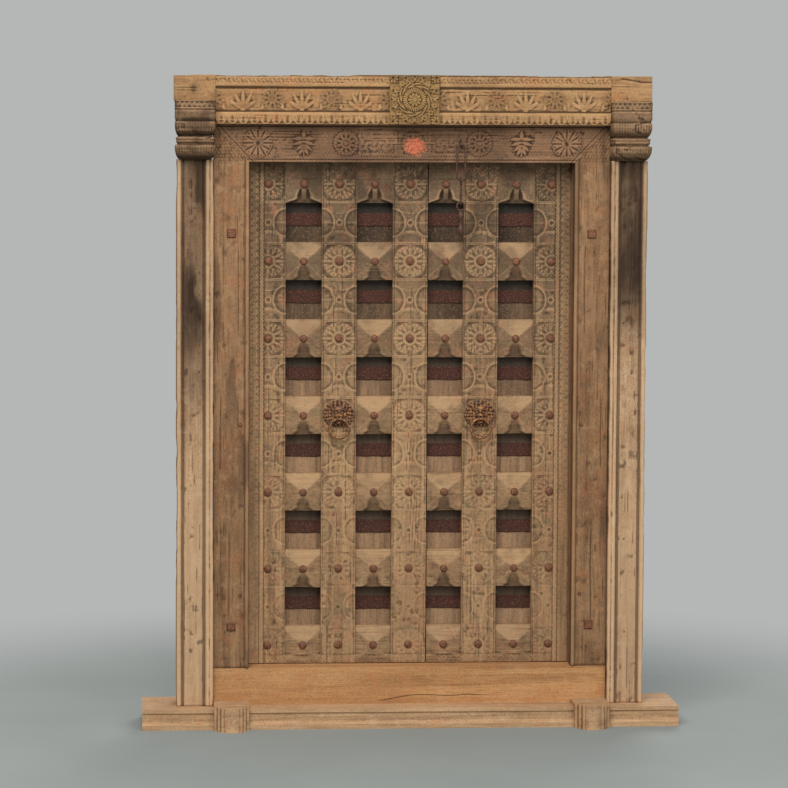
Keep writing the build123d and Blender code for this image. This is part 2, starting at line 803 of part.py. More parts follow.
z_hasp_bar = legs[0] + leg + chain_play + bar
hasp_turn = hasp_width / 2
hasp_straight = hasp_length - hasp_width
z_hasp = z_hasp_bar + bar - hasp_length / 2
with BuildPart() as chain_hasp:
    with BuildSketch(front(y_chain + bar)):
        with Locations((chain_place, z_hasp)):
            Polygon(*stadium(hasp_straight, hasp_turn, half_turn_facets), align=None)
            Polygon(
                *stadium(hasp_straight, hasp_turn - 2 * bar, half_turn_facets),
                align=None,
                mode=Mode.SUBTRACT,
            )
    extrude(amount=2 * bar)
    round_bar(chain_hasp, Axis.Y, bar)
save(chain_hasp, "chain_hasp")

z_hasp_foot = z_hasp - hasp_length / 2 + bar
eye_hole = link_eye_radius - 2 * bar
z_eye_top = z_hasp_foot + bar + chain_play - eye_hole
z_eye_low = z_eye_top - (link_length - 2 * link_eye_radius)
with BuildPart() as chain_link:
    with BuildSketch(Plane.YZ.offset(chain_place - bar)):
        with Locations((y_chain, z_eye_top), (y_chain, z_eye_low)):
            RegularPolygon(link_eye_radius, eye_facets, rotation=90)
            RegularPolygon(eye_hole, eye_facets, rotation=90, mode=Mode.SUBTRACT)
    extrude(amount=2 * bar)
    round_bar(chain_link, Axis.X, bar)
    with BuildSketch(Plane.XY.offset(z_eye_low + eye_hole + bar)):
        with Locations((chain_place, y_chain)):
            RegularPolygon(link_shank_radius, bar_facets)
    extrude(amount=z_eye_top - z_eye_low - 2 * eye_hole - 2 * bar)
save(chain_link, "chain_link")

z_low_bar = z_eye_low - eye_hole - bar
end_hole = end_ring_radius - 2 * bar
z_end = z_low_bar + bar + end_play - end_hole
z_drop = z_end - end_hole - bar
lobe_length = pendant_length / pendant_lobes
rise = lobe_length * petal_shoulder_share
fall = lobe_length - rise
pendant_slope = pendant_radius * (1 - pendant_neck_share)
with BuildPart() as drop_rise:
    with BuildSketch():
        RegularPolygon(pendant_radius, bar_facets)
    extrude(amount=rise, taper=degrees(atan(pendant_slope / rise)))
with BuildPart() as drop_fall:
    with BuildSketch():
        RegularPolygon(pendant_radius, bar_facets)
    extrude(amount=fall, taper=degrees(atan(pendant_slope / fall)))
with BuildPart() as chain_end:
    with BuildSketch(front(y_chain + bar)):
        with Locations((chain_place, z_end)):
            RegularPolygon(end_ring_radius, eye_facets, rotation=90)
            RegularPolygon(end_hole, eye_facets, rotation=90, mode=Mode.SUBTRACT)
    extrude(amount=2 * bar)
    round_bar(chain_end, Axis.Y, bar)
    for k in range(pendant_lobes):
        z_girth = z_drop - k * lobe_length - rise
        with Locations(Location((chain_place, y_chain, z_girth))):
            add(drop_rise.part)
        with Locations(Location((chain_place, y_chain, z_girth), (180, 0, 0))):
            add(drop_fall.part)
save(chain_end, "chain_end")
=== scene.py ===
import json
import math

import bpy
import numpy as np
from mathutils import Matrix, Vector


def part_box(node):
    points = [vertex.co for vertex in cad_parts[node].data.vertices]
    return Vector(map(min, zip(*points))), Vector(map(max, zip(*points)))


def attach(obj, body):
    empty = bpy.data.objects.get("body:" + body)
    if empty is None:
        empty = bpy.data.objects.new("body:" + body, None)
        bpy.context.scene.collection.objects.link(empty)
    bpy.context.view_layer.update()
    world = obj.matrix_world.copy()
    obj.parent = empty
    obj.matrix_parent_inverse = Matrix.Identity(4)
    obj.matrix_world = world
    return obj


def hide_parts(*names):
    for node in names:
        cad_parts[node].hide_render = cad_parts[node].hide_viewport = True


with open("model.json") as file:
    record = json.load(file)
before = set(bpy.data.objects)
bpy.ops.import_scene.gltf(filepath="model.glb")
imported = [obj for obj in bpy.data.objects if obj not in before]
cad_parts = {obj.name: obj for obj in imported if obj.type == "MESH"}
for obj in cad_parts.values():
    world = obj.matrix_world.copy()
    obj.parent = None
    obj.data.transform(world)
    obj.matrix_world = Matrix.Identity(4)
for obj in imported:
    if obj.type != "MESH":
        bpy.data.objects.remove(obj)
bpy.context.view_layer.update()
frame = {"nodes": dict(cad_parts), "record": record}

# Places that the CAD gives, in millimetres
MM = 0.001
TAU = 2 * math.pi
COLUMN, ROW, FIRST_ROW = 109.3, 237.8, 233.6
ROWS = [FIRST_ROW + ROW * k for k in range(7)]
RECESSES = [z + ROW / 2 for z in ROWS[:-1]]
TOP_ROW = len(ROWS) - 1
RAIL, STILE, CELL = 117.2, 106.6, 112.0
Z_SILL, Z_HEAD, Z_LINTEL, Z_TOP = 175.0, 1727.0, 1842.0, 1991.0
Z_LEAF, Z_LEAF_TOP = 177.0, 1742.0
Z_PILASTER, Z_CAPITAL, Z_LINTEL_END = 62.0, 1734.0, 1912.0
Y_JAMB, Y_PILASTER, Y_LINTEL, Y_MEDALLION = -1.5, -29.5, -35.5, -54.5
Y_FRAME_BACK, Y_LEAF, Y_LAP, Y_LATTICE_BACK, Y_LEAF_BACK = 68.5, 69.5, 88.5, 107.5, 129.5
X_OPENING, X_JAMB, X_PILASTER = 498.0, 606.0, 720.0
X_HANGING, X_SHOULDER = 383.9, 439.9
X_PIVOT, Y_PIVOT, PIVOT_RADIUS, PIVOT_LENGTH, HEEL_RADIUS = 528.0, 99.5, 16.0, 40.0, 30.0
X_LINTEL_STEP, X_LINTEL_END, MEDALLION_HALF = 602, 727, 75
CAPITAL_HALF, CAPITAL_TALL, CAPITAL_CORNER = 61, 178, 13.0
STRAP_HALF, STRAP_LIFT, STRAP_THICK = 20, 9, 3
X_MASK, Z_MASK, Y_MOUTH, MOUTH_DROP, CHIN, RING = 218.6, 947.0, 47.5, 9.0, 0.7, 29.5
X_CHAIN, Y_CHAIN = 146.0, -17.5

# Where the carving changes, in millimetres
ROSETTE = 51
Z_TOP_BAND, Z_TOP_VINE, Z_TOP_LINE = 1674, 1699, 1724
Z_FOOT_BAND, Z_FOOT_BRAID = 204, 191
X_BRAID, X_VINE, X_EDGE = 449.7, 464.7, 495
Z_JAMB_FILL = 1733
FRIEZE_PITCH, FRIEZE_ROSETTE, FRIEZE_PALM = 178, 74, 163
Z_FRIEZE, Z_SCALLOPS, Z_WAVES = Z_LINTEL + 75, Z_LINTEL + 18, Z_TOP - 17

# Each side's name, its sign along X, and what it adds to a seed
SIDES = (("left", -1, 0), ("right", 1, 10))


# Number helpers
def ease(low, high, value):
    t = np.clip((value - low) / (high - low), 0, 1)
    return t * t * (3 - 2 * t)


def ridge(distance, width):
    return np.exp(-((distance / width) ** 2))


def spot(x, z, cx, cz, rx, rz):
    return np.exp(-(((x - cx) / rx) ** 2) - ((z - cz) / rz) ** 2)


def polar(x, z):
    return np.hypot(x, z), np.arctan2(x, z)


def value_noise(x, z, cell, seed):
    table = np.random.default_rng(seed).random((64, 64))
    u, v = x / cell, z / cell
    i, j = np.floor(u).astype(int), np.floor(v).astype(int)
    a, b = u - i, v - j
    a, b = a * a * (3 - 2 * a), b * b * (3 - 2 * b)
    near = table[i % 64, j % 64] * (1 - a) + table[(i + 1) % 64, j % 64] * a
    far = table[i % 64, (j + 1) % 64] * (1 - a) + table[(i + 1) % 64, (j + 1) % 64] * a
    return near * (1 - b) + far * b


def clouds(x, z, cell, seed, octaves=3):
    total, weight = 0.0, 0.0
    for k in range(octaves):
        share = 0.5**k
        total = total + share * value_noise(x, z, cell * share, seed + 7 * k)
        weight += share
    return total / weight


def blurred(field, reach):
    for axis in (0, 1):
        size = 2 * reach + 1
        pad = [(0, 0), (0, 0)]
        pad[axis] = (reach + 1, reach)
        total = np.cumsum(np.pad(field, pad, mode="edge"), axis=axis)
        count = field.shape[axis]
        upper = np.take(total, range(size, size + count), axis=axis)
        lower = np.take(total, range(0, count), axis=axis)
        field = (upper - lower) / size
    return field


def hollows(height, reach, relief):
    """How deep each place lies below its surroundings, from -1 to 1."""
    return np.clip((blurred(height, reach) - height) / relief, -1, 1)


# Motifs: each gives a height from 0 to about 1 at places in millimetres
def petals(r, turn, inner, outer, count):
    t = (r - inner) / (outer - inner)
    across = np.abs(((turn / TAU) * count) % 1 - 0.5) * 2
    width = np.sqrt(np.sin(math.pi * np.clip(0.12 + 0.78 * t, 0.02, 0.98)))
    return np.sqrt(np.clip(1 - (across / width) ** 2, 0, 1)) * ((t >= 0) & (t <= 1))


def hollow(petal):
    """A petal with a raised rim and a sunk middle."""
    return np.where(petal > 0, 1 - 0.75 * ease(0.45, 0.95, petal), 0)


def rosette(x, z, radius, count=24):
    r, turn = polar(x, z)
    height = 0.9 * hollow(petals(r, turn, 0.7 * radius, radius, count))
    inner = petals(r, turn, 0.4 * radius, 0.76 * radius, count // 2)
    height = np.where(inner > 0.05, hollow(inner), height)
    height = np.where(r < radius, np.maximum(height, 0.3), height)
    return np.where(r < 0.4 * radius, 0.35 + 0.5 * ridge(r - 0.37 * radius, 0.04 * radius), height)


def ringed_flower(x, z, radius):
    r, turn = polar(x, z)
    wedge = np.abs(((turn / TAU * 12) % 1) - 0.5) * 2
    share = np.clip(r / radius, 0, 1.2)
    height = 0.9 * (1 - ease(0.62, 0.88, wedge)) * ease(0.06, 0.2, share) * ease(0.84, 0.78, share)
    loop = ridge(np.hypot(wedge * 0.13, share - 0.9) - 0.075, 0.03)
    return np.maximum(height, 0.8 * np.where((share > 0.8) & (share < 1.0), loop, 0))


def stipple(x, z, pitch, seed):
    """A close ground of small buds."""
    row = np.floor(z / pitch)
    stray = 0.5 * clouds(x, z, 2 * pitch, seed + 1, 1)
    u = (x / pitch + 0.5 * (row % 2) + stray) % 1 - 0.5
    v = (z / pitch) % 1 - 0.5
    size = 0.3 + 0.16 * clouds(x, z, pitch, seed, 1)
    return np.clip(1 - np.hypot(u, v) / size, 0, 1) ** 0.6


def leaf_shape(x, z, length, width, lean):
    c, s = math.cos(lean), math.sin(lean)
    along, across = c * z + s * x, c * x - s * z
    t = np.clip(along / length, 0, 1)
    half = width * np.sin(math.pi * t**0.75) * 0.5 + 0.001
    body = np.clip(1 - (across / half) ** 2, 0, 1) ** 0.5
    vein = 1 - 0.35 * ridge(across, 0.12 * width)
    return body * vein * ((along > 0) & (along < length))


def palmette(x, z, size):
    """Five fronds that fan out from a bud."""
    height = np.zeros_like(x)
    for k in range(-2, 3):
        frond = leaf_shape(x, z + 0.45 * size, size * (1.0 - 0.06 * abs(k)), 0.2 * size, 0.5 * k)
        height = np.maximum(height, frond)
    return np.maximum(height, 0.9 * (np.hypot(x, z + 0.5 * size) < 0.1 * size))


def palm(x, z, size):
    """A bud on a stem, with pairs of leaves that droop to both sides."""
    height = np.maximum(leaf_shape(x, z - 0.16 * size, 0.3 * size, 0.16 * size, 0),
                        0.7 * ridge(x, 0.025 * size) * (z < 0.2 * size) * (z > -0.46 * size))
    for k, lean in enumerate((1.6, 1.9, 2.25, 2.6)):
        foot = z - (0.16 - 0.1 * k) * size
        for sign in (-1, 1):
            blade = leaf_shape(sign * x, foot, (0.42 - 0.03 * k) * size, 0.14 * size, lean)
            height = np.maximum(height, blade)
    return height * (z > -0.5 * size)


def vine(across, along, width, wave):
    height = 0.8 * ridge(across - 0.24 * width * np.sin(TAU * along / wave), 0.06 * width)
    for half, sign in ((0, 1), (1, -1)):
        local = (along + half * wave / 2) % wave - wave / 2
        r, turn = polar(across * sign + 0.14 * width, local)
        height = np.maximum(height, 0.95 * petals(r, turn, 0.04 * width, 0.27 * width, 5))
    return height


def braid(across, along, width, wave):
    height = np.zeros_like(across)
    for phase in (0.0, math.pi):
        strand = 0.26 * width * np.sin(TAU * along / wave + phase)
        lift = 0.75 + 0.25 * np.cos(TAU * along / wave * 2 + phase)
        height = np.maximum(height, lift * ridge(across - strand, 0.15 * width))
    return height


def wave_band(x, z, tall, pitch):
    r, turn = polar((x % pitch) - pitch / 2, z + 0.1 * tall)
    spiral = 0.5 + 0.5 * np.cos(3 * turn - r * TAU / (0.42 * tall))
    return spiral * (1 - ease(0.36 * tall, 0.5 * tall, r))


def scallops(x, z, pitch, tall):
    """A row of outlined petals with their tips down."""
    u = np.abs(((x / pitch) % 1) - 0.5) * 2
    t = np.clip(0.5 - z / tall, 0, 1)
    edge = np.sqrt(np.clip(1 - t**2.4, 0, 1))
    return np.maximum(ridge(u - 0.92 * edge, 0.16), ridge(u - 0.5 * edge, 0.12) * (t < 0.75))


# Wear
def rough(x, z, seed):
    return 0.5 * (clouds(x, z, 9, seed) - 0.5)


def age(x, z, seed, depth, along="z"):
    """Split lines that run with the grain, and soft dents, as negative heights."""
    u, v = (x, z) if along == "z" else (z, x)
    drift = 5 * (clouds(v, u * 0.1, 160, seed) - 0.5)
    line = np.abs(((u + drift) / 9.0 + 20 * value_noise(u * 0, v, 4000, seed)) % 1 - 0.5)
    where = ease(0.58, 0.7, clouds(u, v * 0.12, 14, seed + 3))
    dents = ease(0.62, 0.8, clouds(x, z, 26, seed + 5))
    return -depth * where * ridge(line, 0.1) - 0.6 * depth * dents


def frayed(x, z, amount, seed, sides):
    """Wear the rim of a grid inwards, on its left, right, top or bottom."""
    x, z = x.copy(), z.copy()
    for side in sides:
        upright, first = side in "lr", side in "lb"
        steps = np.arange(x.shape[1 if upright else 0], dtype=float)
        fall = np.exp(-(steps if first else steps[::-1]) / 1.6)
        along = z if upright else x
        bite = amount * ease(0.4, 0.8, clouds(along, along * 0 + 7 * "lrtb".index(side), 70, seed, 4))
        bite = bite if first else -bite
        if upright:
            x += fall[None, :] * bite
        else:
            z += fall[:, None] * bite
    return x, z


def worn_share(z):
    """How crisp the carving still is at a height: worn towards the foot."""
    return 0.42 + 0.58 * ease(300, 1350, z)


def leaf_soot(x, z, seed):
    """Grime that thickens towards the top of the leaf."""
    return (0.05 + 0.5 * ease(1050, 1700, z)) * ease(0.4, 0.7, clouds(x, z, 75, seed, 4))


# Mesh helpers
def mesh_of(name, verts, quads, caps, smooth_count=None, fields=None):
    mesh = bpy.data.meshes.new(name)
    sizes = [4] * len(quads) + [len(cap) for cap in caps]
    corners = np.concatenate([np.ravel(quads)] + list(caps)).astype(np.int32)
    mesh.vertices.add(len(verts))
    mesh.vertices.foreach_set("co", (np.asarray(verts, dtype=np.float32) * MM).ravel())
    mesh.loops.add(len(corners))
    mesh.loops.foreach_set("vertex_index", corners)
    mesh.polygons.add(len(sizes))
    mesh.polygons.foreach_set("loop_start", np.concatenate([[0], np.cumsum(sizes)[:-1]]).astype(np.int32))
    smooth = np.arange(len(sizes)) < (len(quads) if smooth_count is None else smooth_count)
    mesh.polygons.foreach_set("use_smooth", smooth)
    mesh.update(calc_edges=True)
    for key, values in (fields or {}).items():
        layer = mesh.attributes.new(key, "FLOAT", "POINT")
        layer.data.foreach_set("value", np.asarray(values, dtype=np.float32))
    mesh.validate()
    return mesh


def linked(name, data):
    thing = bpy.data.objects.new(name, data)
    bpy.context.scene.collection.objects.link(thing)
    return thing


def new_object(name, mesh, material, body, *nodes):
    piece = linked(name, mesh)
    mesh.materials.clear()
    mesh.materials.append(material)
    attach(piece, body)
    if nodes:
        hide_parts(*nodes)
    return piece


def grid_quads(rows, cols, closed="", first=0):
    """Faces over a grid of points that may close on itself along its rows or its columns."""
    index = first + np.arange(rows * cols).reshape(rows, cols)
    if "r" in closed:
        index = np.concatenate([index, index[:1]])
    if "c" in closed:
        index = np.concatenate([index, index[:, :1]], axis=1)
    corners = (index[:-1, :-1], index[:-1, 1:], index[1:, 1:], index[1:, :-1])
    return np.stack([corner.ravel() for corner in corners], -1)


def tube(path, radius, sides, closed=False):
    """A swept bar along points in millimetres, as points, faces and caps."""
    path = np.asarray(path, dtype=float)
    count = len(path)
    radius = np.broadcast_to(radius, count)
    verts = []
    for i in range(count):
        ahead = path[(i + 1) % count] if closed or i < count - 1 else path[i]
        behind = path[i - 1] if closed or i > 0 else path[i]
        t = ahead - behind
        t /= np.linalg.norm(t)
        side = np.cross(t, (0.0, 1.0, 0.0))
        if np.linalg.norm(side) < 1e-6:
            side = np.array([1.0, 0.0, 0.0])
        side /= np.linalg.norm(side)
        lift = np.cross(side, t)
        for a in TAU * np.arange(sides) / sides:
            verts.append(path[i] + radius[i] * (math.cos(a) * side + math.sin(a) * lift))
    ring = np.arange(sides)
    caps = [] if closed else [ring[::-1], (count - 1) * sides + ring]
    return np.array(verts), grid_quads(count, sides, "rc" if closed else "c"), caps


def joined(parts):
    verts, quads, caps, count = [], [], [], 0
    for part_verts, part_quads, part_caps in parts:
        verts.append(part_verts)
        quads.append(part_quads + count)
        caps += [cap + count for cap in part_caps]
        count += len(part_verts)
    return np.concatenate(verts), np.concatenate(quads), caps


def forged(name, parts, material, body, *nodes):
    """One piece from several tubes or other closed parts."""
    return new_object(name, mesh_of(name, *joined(parts)), material, body, *nodes)


class Carving:
    """Closed blocks with a carved front, gathered into one mesh."""

    def __init__(self, relief=1.5):
        self.relief = relief
        self.verts, self.front, self.sides, self.caps = [], [], [], []
        self.count = 0
        self.fields = {"cavity": [], "soot_and_shade": [], "pale": [], "paint": []}

    def add(self, x, z, height, face, back, soot_and_shade=0.0, pale=0.0, paint=0.0, reach=4):
        rows, cols = x.shape
        first = self.count
        front = np.stack([x, face - height, z], -1).reshape(-1, 3)
        index = first + np.arange(rows * cols).reshape(rows, cols)
        self.front.append(grid_quads(rows, cols, first=first))
        rim = np.concatenate([index[0, :-1], index[:-1, -1], index[-1, :0:-1], index[:0:-1, 0]])
        rear = front[rim - first].copy()
        rear[:, 1] = back
        ring = first + rows * cols + np.arange(len(rim))
        self.sides.append(np.stack([rim, ring, np.roll(ring, -1), np.roll(rim, -1)], -1))
        self.caps.append(ring[::-1])
        self.verts += [front, rear]
        self.count += len(front) + len(rear)
        cavity = hollows(height, reach, self.relief)
        for key, value in (("cavity", cavity), ("soot_and_shade", soot_and_shade), ("pale", pale), ("paint", paint)):
            self.fields[key] += [np.broadcast_to(value, x.shape).ravel(), np.zeros(len(rim))]

    def block(self, x, y, z):
        faces = [(0, 1, 5, 4), (1, 3, 7, 5), (3, 2, 6, 7), (2, 0, 4, 6), (4, 5, 7, 6), (2, 3, 1, 0)]
        self.verts.append(np.array([(i, j, k) for k in z for j in y for i in x], dtype=float))
        self.sides.append(np.array(faces) + self.count)
        self.count += 8
        for field in self.fields.values():
            field.append(np.zeros(8))

    def piece(self, name, material, body, *nodes):
        quads = np.concatenate(self.front + self.sides)
        smooth_count = sum(len(faces) for faces in self.front)
        fields = {key: np.concatenate(parts) for key, parts in self.fields.items()}
        mesh = mesh_of(name, np.concatenate(self.verts), quads, self.caps, smooth_count, fields)
        return new_object(name, mesh, material, body, *nodes)


def sheet_grid(x0, x1, z0, z1, step):
    nx, nz = max(3, round((x1 - x0) / step) + 1), max(3, round((z1 - z0) / step) + 1)
    return np.meshgrid(np.linspace(x0, x1, nx), np.linspace(z0, z1, nz))


# Materials
class Nodes:
    """A node tree, built by calls that add one node each and give its output."""

    def __init__(self, tree):
        self.tree = tree
        tree.nodes.clear()

    def add(self, kind, settings=None, output=0, **inputs):
        node = self.tree.nodes.new(kind)
        for key, value in (settings or {}).items():
            setattr(node, key, value)
        for key, value in inputs.items():
            numbered = key[0] == "i" and key[1:].isdigit()
            socket = node.inputs[int(key[1:]) if numbered else key.replace("_", " ")]
            if isinstance(value, bpy.types.NodeSocket):
                self.tree.links.new(value, socket)
            else:
                socket.default_value = value
        return node.outputs[output] if node.outputs else node

    def math(self, kind, a, b=0.0, clamp=False):
        return self.add("ShaderNodeMath", {"operation": kind, "use_clamp": clamp}, i0=a, i1=b)

    def times(self, a, b):
        return self.math("MULTIPLY", a, b)

    def plus(self, a, b):
        return self.math("ADD", a, b)

    def span(self, value, low, high, to_low=0.0, to_high=1.0):
        return self.add("ShaderNodeMapRange", {"interpolation_type": "SMOOTHSTEP"}, Value=value,
                        From_Min=low, From_Max=high, To_Min=to_low, To_Max=to_high)

    def mix(self, share, a, b):
        return self.add("ShaderNodeMix", {"data_type": "RGBA"}, 2, i0=share, i6=a, i7=b)

    def place(self):
        return self.add("ShaderNodeTexCoord", output="Object")

    def axis(self, place, number):
        return self.add("ShaderNodeSeparateXYZ", output=number, Vector=place)

    def moved(self, place, move, scale=(1, 1, 1)):
        return self.add("ShaderNodeMapping", Vector=place, Location=move, Scale=scale)

    def noise(self, place, scale, detail, roughness=0.5, distortion=0.0):
        return self.add("ShaderNodeTexNoise", Vector=place, Scale=scale, Detail=detail, Roughness=roughness,
                        Distortion=distortion)

    def field(self, name):
        return self.add("ShaderNodeAttribute", {"attribute_name": name}, "Fac")

    def bump(self, height, strength, distance):
        return self.add("ShaderNodeBump", Strength=strength, Distance=distance, Height=height)

    def shown(self, shade, kind="Material"):
        self.add("ShaderNodeOutput" + kind, Surface=shade)


def new_material(name):
    material = bpy.data.materials.new(name)
    material.use_nodes = True
    return material, Nodes(material.node_tree)


def rgb(colour, share=1.0):
    """A colour as the eye reads it on screen, 0 to 255, as a linear one, times a share."""
    linear = [((c / 255 + 0.055) / 1.055) ** 2.4 if c > 10 else c / 3295 for c in colour]
    return tuple(min(1.0, share * c) for c in linear) + (1.0,)


SOOT_AND_SHADE_COLOUR, SHADOW = (42, 29, 21), (48, 45, 43)


def wood(name, pale, mid, dark, grain, seed, hollow_darkening, grey=None, stain=None, mottle=(), paint=None, crack=None,
         recess=None, roughness=0.82, contrast=1.0, wear=1.0):
    material, nodes = new_material(name)
    span, times = nodes.span, nodes.times
    place = nodes.place()
    height = nodes.axis(place, 2)

    def along_grain(share):
        move = (seed, 0.37 * seed, 0.71 * seed)
        return nodes.moved(place, move, (1, 1, share) if grain == "z" else (share, 1, 1))

    fibre_place = along_grain(0.045)
    fibre = nodes.noise(fibre_place, 230.0, 6.0, 0.7)
    streak = nodes.noise(fibre_place, 42.0, 5.0, 0.62, 0.6)
    cloud = nodes.noise(along_grain(0.4), 7.0, 5.0, 0.6)
    speck = nodes.noise(place, 190.0, 4.0, 0.7)
    tone = nodes.mix(span(streak, 0.3, 0.7), rgb(mid), rgb(pale))

    def coat(share, colour, strength=1.0):
        nonlocal tone
        tone = nodes.mix(share, tone, rgb(colour, strength))

    coat(span(cloud, 0.38, 0.72), mid)
    coat(span(streak, 0.5, 0.3, 0.0, 0.75 * contrast), dark)
    coat(span(fibre, 0.56, 0.36, 0.0, 0.6 * contrast), dark)
    front_side = 1.0
    if recess:
        foot, pitch, front = recess
        front_side = span(nodes.axis(place, 1), front + 0.004, front + 0.001)
    if grey:
        up = nodes.plus(span(height, 0.35, 1.7), times(cloud, 0.7))
        coat(times(span(up, 0.55, 1.5), front_side), grey)
    if stain:
        coat(span(cloud, 0.56, 0.7, 0.0, 0.65), stain)
    for k, tint in enumerate(mottle):
        blot = nodes.noise(nodes.moved(place, (3.1 * k + seed, seed, 1.7 * k)), 16.0 + 9.0 * k, 6.0, 0.68)
        coat(span(blot, 0.5, 0.68, 0.0, 0.6), tint)
    coat(span(speck, 0.5, 0.72, 0.0, 0.42), pale)
    coat(span(speck, 0.5, 0.3, 0.0, 0.5), dark)
    # Pale patches, and on the rail blocks a painted highlight on the top facets and ridges
    coat(nodes.math("MULTIPLY", nodes.field("pale"), 0.8, True), pale)
    cavity = nodes.field("cavity")
    # Darker in the hollows of the carving, and a painted highlight on its crests
    coat(span(cavity, 0.03, 0.7, 0.0, 0.72 * hollow_darkening), dark, 0.28)
    coat(span(cavity, -0.1, -0.8, 0.0, 0.42), pale, 1.1)
    # Soot, with painted shade on the rail blocks' side facets and niches and under the capitals' cushions
    # and rolls
    coat(times(nodes.field("soot_and_shade"), span(streak, 0.15, 0.6, 0.72, 1.0)), SOOT_AND_SHADE_COLOUR)
    if recess:
        level = nodes.math("FRACT", nodes.math("DIVIDE", nodes.math("SUBTRACT", height, foot), pitch))
        coat(times(front_side, span(level, 0.54, 0.64, 0.0, 0.72)), SHADOW)
    if crack:
        start, end, low, rise = crack
        along = nodes.axis(place, 0)
        wander = span(cloud, 0.3, 0.7, -0.004, 0.004)
        line = nodes.plus(span(along, start, start + 0.14, low, low + rise), wander)
        off = nodes.math("ABSOLUTE", nodes.math("SUBTRACT", height, line))
        gap = times(span(along, start, start + 0.03), span(along, end, end - 0.08))
        coat(times(gap, span(off, 0.0026, 0.0008, 0.0, 0.8)), dark, 0.4)
    if paint:
        daub = nodes.plus(nodes.field("paint"), span(speck, 0.3, 0.7, -0.55, 0.3))
        coat(span(daub, 0.1, 1.15, 0.0, 0.82), paint)
    rounded = nodes.add("ShaderNodeBevel", {"samples": 4}, Radius=0.004)
    facing = nodes.add("ShaderNodeVectorMath", {"operation": "DOT_PRODUCT"}, "Value", i0=rounded,
                       i1=nodes.add("ShaderNodeNewGeometry", output="Normal"))
    coat(times(span(facing, 0.98, 0.85), span(cloud, 0.35, 0.6, 0.04 * wear, 0.3 * wear)), pale, 1.12)
    relief = nodes.plus(nodes.plus(times(fibre, 0.55), times(streak, 0.9)), times(speck, 0.25))
    nodes.shown(nodes.add("ShaderNodeBsdfPrincipled", Base_Color=tone, Specular_IOR_Level=0.18,
                          Normal=nodes.bump(relief, 0.75, 0.0022),
                          Roughness=span(streak, 0.2, 0.8, roughness - 0.08, roughness + 0.12)))
    return material


def metal(name, base, rust, dark, metallic, roughness, rust_share, grain, pits):
    material, nodes = new_material(name)
    span, times = nodes.span, nodes.times
    place = nodes.place()
    coarse = nodes.noise(place, grain, 6.0, 0.65)
    fine = nodes.noise(place, grain * 6, 4.0, 0.6)
    cells = nodes.add("ShaderNodeTexVoronoi", output="Distance", Vector=place, Scale=grain * 3.2)
    cover = span(coarse, 0.62 - rust_share, 0.75 - rust_share)
    tone = nodes.mix(cover, rgb(base), rgb(rust))
    for share in (span(fine, 0.5, 0.68, 0.0, 0.75), span(cells, 0.3, 0.05, 0.0, 0.55),
                  span(nodes.field("cavity"), 0.03, 0.6, 0.0, 0.9)):
        tone = nodes.mix(share, tone, rgb(dark))
    relief = nodes.plus(nodes.plus(coarse, times(cells, 0.6)), times(fine, 0.4))
    nodes.shown(nodes.add("ShaderNodeBsdfPrincipled", Base_Color=tone, Normal=nodes.bump(relief, 0.8, pits),
                          Roughness=span(coarse, 0.3, 0.7, roughness - 0.1, roughness + 0.12),
                          Metallic=span(cover, 0.0, 1.0, metallic, metallic * 0.25)))
    return material


LEAF = wood("leaf_wood_weathered", (182, 147, 108), (152, 117, 83), (88, 65, 46), "z", 1.3, 0.75,
            grey=(98, 80, 62), stain=(148, 106, 76), contrast=0.6,
            mottle=((128, 112, 80), (166, 112, 84), (96, 80, 66)))
LEAF_ACROSS = wood("leaf_wood_across", (180, 146, 108), (148, 115, 83), (86, 64, 46), "x", 2.1, 0.9,
                   grey=(104, 85, 66), stain=(148, 106, 76), contrast=0.6,
                   mottle=((138, 116, 82), (162, 112, 84), (98, 80, 64)))
BOARD = wood("board_wood_dark", (166, 133, 101), (143, 113, 86), (78, 61, 48), "z", 3.7, 1.0,
             grey=(34, 29, 25), roughness=0.9, wear=0.0, contrast=0.6,
             recess=(FIRST_ROW * MM, ROW * MM, Y_LATTICE_BACK * MM))
JAMB = wood("jamb_wood_bare", (160, 124, 90), (136, 102, 72), (88, 62, 42), "z", 4.4, 0.8, contrast=0.75,
            stain=(122, 82, 58), mottle=((150, 100, 66), (164, 130, 94), (116, 92, 68)))
PILASTER = wood("pilaster_wood_sooty", (206, 170, 132), (174, 139, 105), (98, 72, 50), "z", 5.9, 0.9,
                stain=(168, 112, 76), contrast=0.6,
                mottle=((176, 122, 84), (200, 172, 140), (142, 108, 80)))
CAPITAL = wood("capital_wood_sooty_and_shaded", (158, 126, 94), (124, 96, 71), (60, 45, 33), "x", 5.2, 1.0,
               contrast=0.6)
LINTEL = wood("lintel_wood_golden", (178, 140, 98), (150, 113, 77), (90, 64, 41), "x", 6.2, 1.1,
              contrast=0.5, mottle=((168, 110, 70), (140, 108, 72), (176, 142, 98)))
MEDALLION = wood("medallion_wood", (156, 124, 80), (126, 96, 60), (72, 53, 32), "x", 7.7, 1.1, contrast=0.5)
HEAD = wood("head_wood_dark", (150, 114, 84), (117, 88, 65), (64, 48, 36), "x", 8.1, 1.1, contrast=0.5,
            stain=(106, 72, 57), mottle=((104, 84, 68), (128, 92, 68)), paint=(204, 108, 78))
SILL = wood("sill_wood_new", (200, 152, 103), (176, 129, 84), (126, 88, 55), "x", 9.5, 0.7, contrast=0.6,
            mottle=((186, 146, 104), (180, 120, 78)), crack=(-0.11, 0.27, 0.068, 0.02))
THRESHOLD = wood("threshold_wood_pale", (206, 168, 128), (174, 138, 102), (108, 80, 55), "x", 10.2, 0.8,
                 contrast=0.5, mottle=((184, 134, 94), (194, 164, 132)))
STRAP = metal("strap_iron_rusted", (64, 33, 24), (122, 74, 49), (24, 15, 12),
              metallic=0.05, roughness=0.9, rust_share=0.12, grain=210.0, pits=0.0012)
